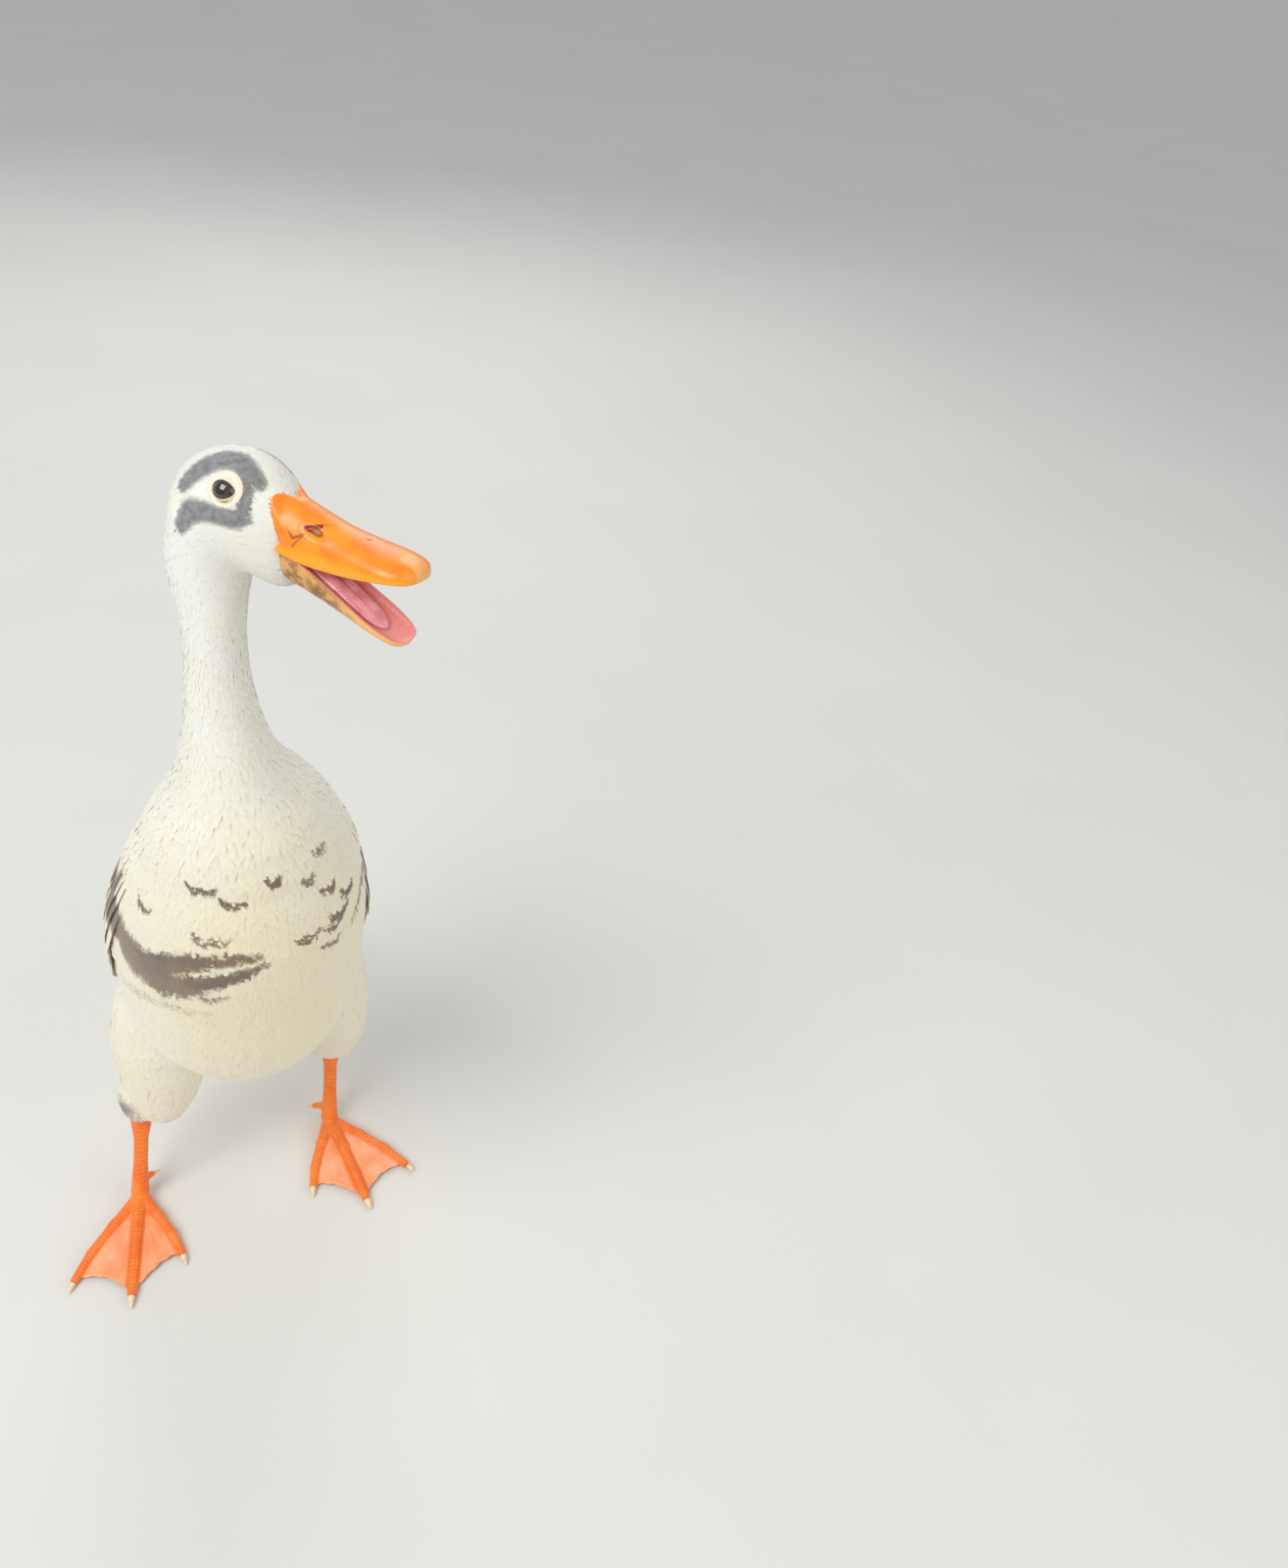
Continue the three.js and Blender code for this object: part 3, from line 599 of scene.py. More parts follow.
# %% [markdown]
# The markings belong to skin and feathers alike, so they are worked out for any place
# on the duck. A brown band crosses the lower breast and forks towards the middle, a
# second fainter one lies under it, and grey patches sit round each eye. Each mark is a
# named stroke: places on the duck, half its width there, and how strong it is. Some
# feathers of the breast end in a soft brown half-moon, open at the top.

# %% Name the marks
BREAST_MARKS = {  # turn round the body in degrees to its left, height, half width
    "band": (1.0, [(-110, 305, 4), (-101, 289, 10), (-87, 274, 16), (-71, 267, 18),
                   (-57, 267, 18), (-46, 270, 15)]),
    "upper arm": (1.0, [(-46, 277, 10), (-34, 287, 8), (-22, 293, 6.5), (-9, 296, 5.5), (1, 297, 4)]),
    "lower arm": (0.95, [(-46, 262, 13), (-34, 267, 12), (-24, 274, 9), (-14, 280, 7),
                         (-5, 285, 6), (4, 291, 4)]),
    "fringe": (0.8, [(-21, 261, 5), (-12, 265, 4)]),
    "second band": (0.5, [(-74, 221, 8), (-56, 235, 10), (-43, 242, 9), (-31, 246, 9),
                          (-18, 248, 7)]),
    "hatching": (0.35, [(-28, 311, 5), (-19, 308, 4)]),
    "edge of the right wing": (0.9, [(-99, 330, 2.5), (-97, 308, 4), (-97, 290, 6),
                                     (-96, 267, 8)]),
    "edge of the left wing": (0.9, [(52, 286, 4), (60, 291, 4.5), (70, 298, 5), (84, 296, 6)]),
    "scratch": (0.45, [(-10, 213, 0.8), (-9, 209, 0.8)]),
}
FACE_MARKS = {  # places on the right of the head, and half the width
    "over the eye": (0.95, [(-14, -15.5, 10, 4.5), (-8, -13.0, 16, 6), (-1, -9.5, 20.5, 6),
                           (6, -8, 21, 6), (11, -9, 18, 5.5), (16, -9.5, 14.5, 4)]),
    "before the eye": (0.95, [(12.8, -13, 14, 4), (13.6, -15, 8, 3.6), (13.2, -16.2, 3, 4)]),
    "under the eye": (0.95, [(-12.5, -21, -4.5, 4), (-9.5, -19.5, 1, 6), (-3, -19.5, 2.5, 5),
                            (4, -19.0, 1.5, 4.2), (10.5, -17.8, 1.5, 5), (13.5, -16.5, 2, 4)]),
}
HALF_MOONS = [  # turn and height, half width, strength
    (-38, 335, 5.5, 0.62), (-29, 335, 5.5, 0.6), (-11, 329, 7.5, 0.8), (-66, 308, 6, 0.6),
    (15, 340, 4.5, 0.85), (37, 333, 5, 0.5), (56, 344, 6, 0.42), (47, 320, 5.5, 0.7),
    (46, 301, 6.5, 0.85), (40, 296, 5.5, 0.7), (25, 298, 6, 0.8), (58, 308, 5.5, 0.85),
    (36, 284, 5.5, 0.6), (-24, 305, 6.5, 0.5), (-17, 306, 5, 0.45),
]
MARK_AXIS = {"x": 11.94, "y": 32.03, "slope": -0.48, "at": 211}
FAR_SIDE = 0.75
right_hock = np.array(HOCKS["right"]) + duck_at
CUFF = [(right_hock + [-6, -8, 18], 10), (right_hock + [2, -2, 4], 11)]  # on the right thigh's end
MOON_LIFT = 2.4
MOON_STEPS = (-1.0, -0.5, 0.0, 0.5, 1.0)


def body_axis(height):
    """The upright line that the places of the breast marks turn about."""
    y = MARK_AXIS["y"] + MARK_AXIS["slope"] * (height - MARK_AXIS["at"])
    return np.array([MARK_AXIS["x"] + duck_at[0], y + duck_at[1], height])


def on_breast(turn, height):
    """The place of the skin at a turn round the body and a height."""
    middle = body_axis(height)
    out = Vector((math.sin(math.radians(turn)), -math.cos(math.radians(turn)), 0))
    hit = skin_tree.ray_cast(Vector(middle) + out * 120, -out, 120)
    return np.array(hit[0] if hit[0] else Vector(middle) + out * 50)


strokes = {"brown": [], "grey": []}
for strength, rows in BREAST_MARKS.values():
    ends = [(*on_breast(turn, height), half) for turn, height, half in rows]
    strokes["brown"].append((strength, np.array(ends)))
for turn, height, half, strength in HALF_MOONS:
    ends = []
    for share in MOON_STEPS:
        here = on_breast(turn + half * 1.1 * share, height + 3.2 * share**2)
        over = unit(here - body_axis(height)) * MOON_LIFT
        ends.append((*(here + over), 3.5 - 1.6 * share**2))
    strokes["brown"].append((0.46 + 0.45 * strength, np.array(ends)))
strokes["grey"].append((0.9, np.array([(*place, half) for place, half in CUFF])))
for strength, rows in FACE_MARKS.values():
    for side, share in ((1, 1.0), (-1, FAR_SIDE)):
        local = np.array(rows)
        local[:, 1] *= side
        local[:, :3] = from_head(local[:, :3])
        strokes["grey"].append((strength * share, local))


def marking(kind, places):
    """How deep inside a mark each place lies: 1 on its middle line, 0 past its edge."""
    amount = np.zeros(len(places))
    for strength, ends in strokes[kind]:
        reach = ends[:, 3].max() + 4
        low, high = ends[:, :3].min(0) - reach, ends[:, :3].max(0) + reach
        near = np.where(((places > low) & (places < high)).all(1))[0]
        some = places[near]
        for a, b in zip(ends[:-1], ends[1:]):
            run = b[:3] - a[:3]
            t = np.clip((some - a[:3]) @ run / (run @ run), 0, 1)
            gap = np.linalg.norm(some - a[:3] - t[:, None] * run, axis=1)
            half = a[3] + (b[3] - a[3]) * t
            depth = strength * np.clip(1.25 - 0.85 * gap / half, 0, 1)
            amount[near] = np.maximum(amount[near], depth)
    return amount


def warmth(places, stations):
    """Cream gathers low on the neck and over the breast and the belly."""
    front = ease(-(places[:, 1] - duck_at[1] + 20), -40, 60)
    low = 1 - ease(stations, 5.5, 12)
    return np.clip(0.32 + 0.6 * low * (0.4 + 0.6 * front), 0, 1)


print("marks:", {kind: len(rows) for kind, rows in strokes.items()})

# %% [markdown]
# The plumage is matt and silky. Its white is cooler on the head and creamier below,
# each feather is a little lighter or darker than its neighbours, and fine barbs run
# out from its middle at a slant. The marks break up along the barbs into streaks.


# %% The plumage finish
def plumage_finish(name, vanes=True):
    silk = {"Roughness": 0.62, "Sheen_Weight": 0.25, "Sheen_Roughness": 0.5}
    made = Finish(name, **silk, **soft_flesh(0.12, 0.8, 0.6))
    warm, tone = made.attribute("warm"), made.attribute("tone")
    place = made.place()
    cloud = made.noise(place, 28.0)
    shade = (warm + (cloud - 0.5) * 0.5).ramp(0.0, 1.0)
    white = made.mix(shade, colour("efefea"), colour("f0e3b8"))
    white = made.mix(tone * 0.1, white, colour("d6d0bc"))
    fleck = made.noise(place, 420.0, detail=2.0)
    if vanes:
        vane = made.uv("Vane")
        u, v = made.part(vane, 0), made.part(vane, 1)
        streak = made.noise(made.scaled(vane, (9.0, 1.6, 1.0)), 3.0, detail=2.0)
        barb = ((v * 190 + (u - 0.5).size() * 70).wave() + 1) * 0.5
        relief = barb * 0.5 + streak * 0.5
    else:
        streak, relief = fleck, fleck
    edge = (streak - 0.5) * 0.55 + (fleck - 0.5) * 0.5
    brown = (made.attribute("brown") + edge).ramp(0.38, 0.72)
    umber = made.mix(cloud.ramp(0.35, 0.65), colour("46301d"), colour("6f5136"))
    dressed = made.mix(brown * 0.92, white, umber)
    grey = (made.attribute("grey") + edge * 0.9).ramp(0.3, 0.75)
    slate = made.mix(fleck.ramp(0.3, 0.7), colour("4a4848"), colour("77757a"))
    dressed = made.mix(grey * 0.86, dressed, slate)
    return made.wear(Base_Color=dressed, Normal=made.bump(relief, 0.0001, 0.35))


feather_white = plumage_finish("small feathers")
down_white = plumage_finish("down on the skin", vanes=False)

# %% [markdown]
# A small feather is a thin closed leaf: a low ridge along its middle, a keel under it,
# two edges, a narrow root and a pointed tip. Its roots are strewn over the skin at a spacing that
# suits the place, small round the bill and large on the trunk. From its root each
# leaf creeps over the skin along the lie, so it bends with the body under it.

# %% Sizes of the small feathers
LEAF_STEPS = np.array([0.0, 0.35, 0.7, 0.92, 1.0])
LEAF_WIDTH = np.array([0.6, 1.0, 0.9, 0.5, 0.0])
LEAF_LIFT = np.array([0.66, 0.8, 0.93, 1.0, 0.99])
LEAF_RIDGE = 0.09
LENGTH_AT = [(0, 14), (3, 17), (5, 16), (8, 13), (9.5, 11), (11, 8.8), (13, 6.8), (14.5, 5.4), (17, 3.4)]
WIDTH_AT = [(0, 3.6), (3, 4.2), (5, 3.8), (8, 3.0), (9.5, 2.3), (11, 1.7), (13, 1.3), (14.5, 1.05),
            (17, 0.75)]
SPACING_AT = [(0, 2.7), (3, 2.9), (5, 2.6), (8, 2.1), (9.5, 1.75), (11, 1.4), (13, 1.15), (14.5, 0.98),
              (17, 0.72)]
THIGH_SCALE, BREAST_SCALE = 0.72, 0.8
OVERLAP = 1.5
TRIES, CLOSEST = 5.0, 0.92
UNDER_VANES = (3.0, 7.9)  # the stations between which vanes, and no small feathers, clothe the wings
# How far forward the feathers reach round the bill: degrees from its top, place along the head
FACE_EDGE = [(0, 26.4), (5, 25.9), (10, 24.9), (15, 23.6), (20, 22.5), (26, 21.9), (31, 22.2), (37, 23.0),
             (53, 24.2), (76, 25.3), (98, 25.6), (125, 27.0), (150, 30.0), (180, 34.0)]
JAW_HINGE = np.array([22.0, 0.0, -8.0])
MOUTH = {"at": (26, 0, -12), "half": (11.6, 8.6, 6.2)}


def round_bill(local):
    """The angle from the top of the bill, about the line through the jaw's hinge."""
    return np.degrees(np.arctan2(np.abs(local[:, 1]), local[:, 2] - JAW_HINGE[2]))


def past_face_edge(local):
    """How far a place lies forward of the feathers' edge, in millimetres."""
    return local[:, 0] - along(FACE_EDGE, round_bill(local))


breast_front = ease(-(points[:, 1] - duck_at[1]), 10, 45) * (1 - ease(np.abs(at - 6.6), 1.2, 2.4))
thigh_share = shares[:, 1] + shares[:, 2]
size_share = (1 - (1 - THIGH_SCALE) * thigh_share) * (1 - (1 - BREAST_SCALE) * breast_front)
spacing = along(SPACING_AT, at) * size_share * (1 + 0.5 * ease(wing_share, 0.55, 0.9))
bare = (past_face_edge(in_head) > 0) & (in_head[:, 0] > 10)
hidden = (((in_head - MOUTH["at"]) / MOUTH["half"]) ** 2).sum(1) < 1
under_vanes = (wing_share > 0.7) & (at > UNDER_VANES[0]) & (at < UNDER_VANES[1])


# %% Strew the roots
def strew(spacing, keep):
    """Random places on the skin that keep their spacing: faces, and shares of corners."""
    fourth = np.array([tuple(face.vertices)[-1] for face in skin.data.polygons])
    other = np.stack([faces_of_skin[:, 0], faces_of_skin[:, 2], fourth], axis=1)
    halves = np.vstack([faces_of_skin, other])
    a, b, c = (points[halves[:, k]] for k in range(3))
    area = np.linalg.norm(np.cross(b - a, c - a), axis=1) / 2
    wanted = area / spacing[halves].mean(1) ** 2 * keep[halves].min(1)
    count = int(wanted.sum() * TRIES)
    chosen = chance.choice(len(halves), count, p=wanted / wanted.sum())
    u, v = chance.random((2, count))
    fold = u + v > 1
    u, v = np.where(fold, 1 - u, u), np.where(fold, 1 - v, v)
    mix = np.stack([1 - u - v, u, v], axis=1)
    places = (points[halves[chosen]] * mix[:, :, None]).sum(1)
    gap = (spacing[halves[chosen]] * mix).sum(1) * CLOSEST
    tree = kdtree.KDTree(count)
    for i, p in enumerate(places):
        tree.insert(p, i)
    tree.balance()
    free = np.ones(count, bool)
    kept = []
    for i in range(count):
        if free[i]:
            kept.append(i)
            for _, j, _ in tree.find_range(places[i], gap[i]):
                free[j] = False
    kept = np.array(kept)
    return places[kept], halves[chosen[kept]], mix[kept]


roots, root_corners, root_mix = strew(spacing, (~bare & ~hidden & ~under_vanes).astype(float))
print("small feathers:", len(roots))


def at_roots(field):
    """A field of the skin, read at each root."""
    values = field[root_corners]
    return (values * root_mix.reshape(*root_mix.shape, *[1] * (values.ndim - 2))).sum(1)


# %% Lay each leaf along the skin
def creep(starts, ways, reach):
    """Steps over the skin along the lie. reach holds each leaf's distances."""
    centres, normals, headings = [], [], []
    here, heading = starts.copy(), ways.copy()
    walked = np.zeros(len(starts))
    for target in reach.T:
        here = here + heading * (target - walked)[:, None]
        walked = target
        out = np.empty_like(here)
        for i, p in enumerate(here):
            place, _, index, _ = skin_tree.find_nearest(Vector(p))
            here[i] = place
            out[i] = outward[faces_of_skin[index][0]]
        heading = unit(heading - out * (heading * out).sum(1)[:, None])
        centres.append(here.copy())
        normals.append(out)
        headings.append(heading.copy())
    return (np.stack(kind, axis=1) for kind in (centres, normals, headings))


root_at = at_roots(at)
root_scale = at_roots(size_share)
root_lie = unit(at_roots(lie))
root_out = unit(at_roots(outward))
root_thigh = at_roots(thigh_share)
turn = np.radians(chance.normal(0, 3 + 7 * root_thigh, len(roots)))[:, None]
sideways = np.cross(root_out, root_lie)
root_way = root_lie * np.cos(turn) + sideways * np.sin(turn)
leaf_length = along(LENGTH_AT, root_at) * root_scale * chance.uniform(0.82, 1.15, len(roots))
leaf_half = along(WIDTH_AT, root_at) / 2 * root_scale * OVERLAP * chance.uniform(0.85, 1.15, len(roots))
leaf_depth = along(DEPTH_AT, root_at) * chance.uniform(0.96, 1.03, len(roots))
centre, out, way_on = creep(roots, root_way, leaf_length[:, None] * LEAF_STEPS)
print("longest leaf", round(leaf_length.max(), 1), "mm")

# %% Make the leaves into meshes
LEAF_FACES = [(0, 2, 1), (0, 3, 2)]  # each ring: left edge, ridge, right edge, keel
for left in (0, 4, 8):
    ridge, right, keel = left + 1, left + 2, left + 3
    left_on, ridge_on, right_on, keel_on = left + 4, left + 5, left + 6, left + 7
    LEAF_FACES += [(left, ridge, ridge_on), (left, ridge_on, left_on)]
    LEAF_FACES += [(right, ridge_on, ridge), (right, right_on, ridge_on)]
    LEAF_FACES += [(left, left_on, keel_on), (left, keel_on, keel)]
    LEAF_FACES += [(right, keel, keel_on), (right, keel_on, right_on)]
LEAF_FACES += [(12, 13, 16), (13, 14, 16), (12, 16, 15), (15, 16, 14)]
LEAF_U = np.array([0.0, 0.5, 1.0, 0.5] * 4 + [0.5])
LEAF_V = np.append(np.repeat(LEAF_STEPS[:4], 4), 1.0)
PATCH = 0.003
SILK = 0.16
FLAT_ENOUGH = 0.35


def leaf_points():
    across = np.cross(way_on, out)
    lift = leaf_depth[:, None] * LEAF_LIFT
    half = leaf_half[:, None] * LEAF_WIDTH
    ridge = np.minimum(leaf_half * LEAF_RIDGE, 0.35)[:, None]
    rings = []
    for k in range(4):
        middle = centre[:, k] + out[:, k] * lift[:, k : k + 1]
        side = across[:, k] * half[:, k : k + 1]
        rings += [middle - side, middle + out[:, k] * ridge, middle + side, middle - out[:, k] * ridge]
    rings.append(centre[:, 4] + out[:, 4] * lift[:, 4:])
    return np.stack(rings, axis=1)


def keep_fields(mesh, fields):
    """Keeps numbers for each point of a mesh, for its material to read."""
    for key, values in fields.items():
        layer = mesh.attributes.new(key, "FLOAT", "POINT")
        layer.data.foreach_set("value", np.asarray(values, np.float32).ravel())


def new_piece(name, places, faces, fields, copies=1, maps=None, facing=None):
    """A new object from points in millimetres, whose faces repeat for every copy of a shape."""
    mesh = bpy.data.meshes.new(name)
    sizes = np.tile([len(face) for face in faces], copies)
    shape = np.concatenate([np.array(face) for face in faces])
    corners = (shape + np.arange(copies)[:, None] * (len(places) // copies)).ravel()
    mesh.vertices.add(len(places))
    mesh.vertices.foreach_set("co", (np.asarray(places) * MM).astype(np.float32).ravel())
    mesh.loops.add(len(corners))
    mesh.loops.foreach_set("vertex_index", corners.astype(np.int32))
    mesh.polygons.add(len(sizes))
    mesh.polygons.foreach_set("loop_start", (np.cumsum(sizes) - sizes).astype(np.int32))
    mesh.polygons.foreach_set("use_smooth", np.full(len(sizes), True))
    keep_fields(mesh, fields)
    for key, values in (maps or {}).items():
        layer = mesh.uv_layers.new(name=key)
        layer.data.foreach_set("uv", np.asarray(values, np.float32)[corners].ravel())
    mesh.update(calc_edges=True)
    mesh.validate()
    if facing is not None:
        mesh.normals_split_custom_set_from_vertices(facing.tolist())
    o = bpy.data.objects.new(name, mesh)
    scene.collection.objects.link(o)
    return o


def wear_piece(o, finish, slot, *nodes):
    """Gives a finished piece its material and its body, and hides the CAD nodes it stands for. Its slot is
    not used.
    """
    o.data.materials.clear()
    o.data.materials.append(finish)
    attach(o, "root")
    if nodes:
        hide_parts(*nodes)
    return o


def unwrap(places, stations):
    """How far round the unrolled skin places lie: their turn about the line of the body."""
    off = places - middle_at(stations)
    return np.arctan2(off[:, 0], -(off[:, 1] + off[:, 2] * 0.3)) / (2 * math.pi) + 0.5


leaves = leaf_points()


def lies_flat():
    """Which leaves keep their upper face up all along, and don't turn back on themselves."""
    good = np.ones(len(leaves), bool)
    for k in range(3):
        a, b, c = (leaves[:, 4 * k + i] for i in range(3))
        d, e, f = (leaves[:, 4 * k + 4 + i] for i in range(3))
        for p, q, r in ((a, b, e), (a, e, d), (c, e, b), (c, f, e)):
            normal = unit(np.cross(q - p, r - p))
            good &= (normal * out[:, k]).sum(1) > FLAT_ENOUGH
        good &= (way_on[:, k] * way_on[:, k + 1]).sum(1) > FLAT_ENOUGH
    a, b, c, tip = (leaves[:, i] for i in (12, 13, 14, 16))
    for p, q, r in ((a, b, tip), (b, c, tip)):
        good &= (unit(np.cross(q - p, r - p)) * out[:, 3]).sum(1) > FLAT_ENOUGH
    return good


def leaf_facing(chosen):
    """Normals close to the skin's own, so that the leaves shade as one silky surface."""
    across = np.cross(way_on, out)[chosen]
    facing = []
    for k in range(4):
        side = across[:, k] * SILK
        up = out[chosen][:, k]
        facing += [unit(up - side), up, unit(up + side), -up]
    facing.append(unit(out[chosen][:, 4] + way_on[chosen][:, 4] * SILK))
    return np.stack(facing, axis=1).reshape(-1, 3)


flat_leaves = lies_flat()
print("leaves that curl over and are left out:", int((~flat_leaves).sum()))
corner_count = leaves.shape[1]
print("leaves hold", int(flat_leaves.sum()) * len(LEAF_FACES), "triangles")

# %% [markdown]
# The coat is split into pieces that stay small enough to export, region by region.
# Each leaf gets a small patch of its own on the map for baking, at the place of its
# root on the unrolled skin, and a second map along its own vane for the fine barbs.

# %% Split the coat into pieces
LARGEST_PIECE = 6600
HEAD_FROM, NECK_FROM = 13.2, 9.4  # stations
MAP_MARGIN = 0.01
around_line = unwrap(roots, root_at)
left_share, right_share = at_roots(shares[:, 1]), at_roots(shares[:, 2])
region = np.where(root_at > HEAD_FROM, "head", np.where(root_at > NECK_FROM, "neck", "trunk"))
region = np.where(left_share > 0.5, "left thigh", np.where(right_share > 0.5, "right thigh", region))
is_trunk = region == "trunk"
front_of = np.abs(around_line - 0.5) < 0.25
region = np.where(is_trunk & front_of, "breast", np.where(is_trunk, "back", region))


def from_0_to_1(values):
    """Values moved and scaled to fill a map, all but its margins."""
    return (values - values.min()) / max(np.ptp(values), 1e-6) * (1 - 2 * MAP_MARGIN) + MAP_MARGIN


def coat_piece(name, chosen):
    count = len(chosen)
    places = leaves[chosen]
    flat = places.reshape(-1, 3)
    streak = chance.normal(0, 1, count)[:, None, None] * way_on[chosen][:, :1] * 1.2
    seen = (places + streak * np.minimum(leaf_length[chosen] / 12, 1)[:, None, None]).reshape(-1, 3)
    root_on_map = np.stack([from_0_to_1(around_line[chosen]), from_0_to_1(root_at[chosen])], axis=1)
    bake = root_on_map[:, None] + np.stack([LEAF_U - 0.5, LEAF_V - 0.5], axis=1) * PATCH
    vane = np.broadcast_to(np.stack([LEAF_U, LEAF_V], axis=1), (count, corner_count, 2))
    fields = {
        "brown": marking("brown", seen),
        "grey": marking("grey", seen),
        "warm": warmth(flat, np.repeat(root_at[chosen], corner_count)),
        "tone": np.repeat(chance.random(count) ** 2, corner_count),
    }
    maps = {"OFBake": bake.reshape(-1, 2), "Vane": vane.reshape(-1, 2)}
    return new_piece(name, flat, LEAF_FACES, fields, count, maps, leaf_facing(chosen))


for name in ("head", "neck", "breast", "back", "left thigh", "right thigh"):
    chosen = np.where((region == name) & flat_leaves)[0]
    chosen = chosen[np.argsort(root_at[chosen], kind="stable")]
    parts = np.array_split(chosen, max(1, math.ceil(len(chosen) / LARGEST_PIECE)))
    for number, part in enumerate(parts, 1):
        label = "feathers_" + name.replace(" ", "_") + (f"_{number}" if len(parts) > 1 else "")
        wear_piece(coat_piece(label, part), feather_white, "plumage")
        print(label, len(part))

# %% Dress the skin
keep_fields(skin.data, {
    "brown": marking("brown", points),
    "grey": marking("grey", points),
    "warm": warmth(points, at),
    "tone": np.full(len(points), 0.2),
    "bare": ease(past_face_edge(in_head), -0.3, 0.3) * (in_head[:, 0] > 10),
    "mouth": hidden.astype(float),
})
wear_piece(skin, down_white, "plumage", *FLESH, "tail", "wing_left", "wing_right")

# %% [markdown]
# The bill is horn over bone. Each jaw is drawn as rings of points along it, from named
# stations of width and height, because its hollow underside, its overhanging edge and
# its flared root all change along its length. The root of the upper jaw leans onto the
# face: every column of points starts at the edge of the feathers and eases from the
# skin's own surface into the jaw's.

# %% Rings into closed forms
UPPER_NOD, LOWER_NOD = 4.0, 31.0
UPPER_JAW = [  # along, half width, height, hollow, overhang of the edge
    (-8, 10.5, 15.5, 3, 2), (1, 12.4, 17.6, 3.5, 2.4), (11, 12, 14.8, 4, 4.6), (23, 11.6, 11, 3.6, 5.2),
    (37, 12.6, 8.4, 3, 4), (48, 13, 6.8, 2.4, 2.4), (55, 11.2, 5.3, 1.8, 1.9), (58.4, 7.6, 4.2, 1.0, 1.9),
    (60.2, 3.6, 2.6, 0.3, 1.4), (60.7, 0.4, 0.9, -0.6, 0.8),
]
LOWER_JAW = [
    (-8, 9, 13, 2, 0.6), (4, 10.4, 15.5, 3.2, 0.6), (18, 10.2, 12.4, 4, 0.6), (34, 10.6, 8.6, 3.8, 0.6),
    (48, 10.8, 5.6, 3.2, 0.6), (57, 9, 4, 2.2, 0.6), (60.6, 5.8, 3.0, 1.2, 0.5), (62, 0.6, 1.4, 0.1, 0.2),
]
TONGUE_FORM = [  # along, height of its middle, half width, half height
    (-4, -2.6, 4.2, 2.4), (8, -2.0, 5.4, 3.0), (24, -1.7, 6.0, 3.0), (38, -1.7, 6.0, 2.4),
    (46, -2.0, 5.0, 1.8), (50.5, -2.3, 2.6, 1.1), (51.6, -2.4, 0.3, 0.5),
]
ROOT_END = 35.0
WALL = 1.3
OUTSIDE, EDGE, INSIDE = 22, 8, 12  # points in each stretch of half a ring


def stations_of(rows, count):
    """The rows of a table, drawn smooth and read at even steps."""
    _, fine = drawn(rows, 12)
    steps = np.linspace(0, len(fine) - 1, count)
    return np.stack([np.interp(steps, np.arange(len(fine)), column) for column in fine.T], axis=1)


def ring_faces(rings, sides, ends=True):
    faces = []
    for r in range(rings - 1):
        for s in range(sides):
            n = (s + 1) % sides
            faces.append((r * sides + s, r * sides + n, (r + 1) * sides + n, (r + 1) * sides + s))
    if ends:
        faces.append(tuple(range(sides))[::-1])
        faces.append(tuple((rings - 1) * sides + s for s in range(sides)))
    return faces


def jaw_section(wide, tall, hollow, lip, rise):
    """A ring, from its middle over the outside, round the edge, back inside, and mirrored."""
    t = np.linspace(0, 1, OUTSIDE)[:, None] * math.pi / 2
    outside = np.hstack([wide * np.sin(t), tall * np.cos(t) ** 0.92])
    e = np.linspace(0, 1, EDGE)[1:, None]
    bulge = 0.25 * np.sin(math.pi * e)
    edge = np.hstack([wide - WALL * e**3 * min(1, wide / 4) + bulge, -lip * np.sin(e * math.pi / 2)])
    s = np.linspace(0, 1, INSIDE)[1:, None] * math.pi / 2
    inner_wide = max(wide - WALL, wide * 0.4)
    inside = np.hstack([inner_wide * np.cos(s), -lip + (hollow + lip) * np.sin(s) ** 0.8])
    half = np.vstack([outside, edge, inside]) * [1, rise]
    return np.vstack([half, half[-2:0:-1] * [-1, 1]])


def from_jaw(places, nod):
    """Places in a jaw's own frame, whose x runs along it from the hinge, as places on the head."""
    return JAW_HINGE + np.asarray(places) @ turn_about("Y", nod).T


def to_jaw(places, nod):
    return (places.reshape(-1, 3) - JAW_HINGE) @ turn_about("Y", nod)


def jaw_rings(rows, count, nod, rise):
    """Rings of a jaw, as places on the head."""
    rings = []
    for x, wide, tall, hollow, lip in stations_of(rows, count):
        section = jaw_section(wide, tall, hollow, lip, rise)
        rings.append(np.column_stack([np.full(len(section), x), section]))
    return from_jaw(np.array(rings), nod)


def closed_piece(name, rings, fields):
    o = new_piece(name, from_head(rings.reshape(-1, 3)), ring_faces(*rings.shape[:2]), fields)
    face_outwards(o)
    return o


# %% Flare the root of the upper jaw over the face
UPPER_RINGS, LOWER_RINGS = 110, 80
INNER_ROOT = 23.8
NOSTRIL = {"along": 17.5, "side": 9.0, "up": 8.3, "long": 4.4, "tall": 1.7, "deep": 1.7, "slope": 14}


def skin_below(place, way, high, reach):
    """A ray towards a place on the head, from high above it: where it meets the skin."""
    return skin_tree.ray_cast(Vector(from_head(place + way * high)), Vector(-head_axes @ way), reach)


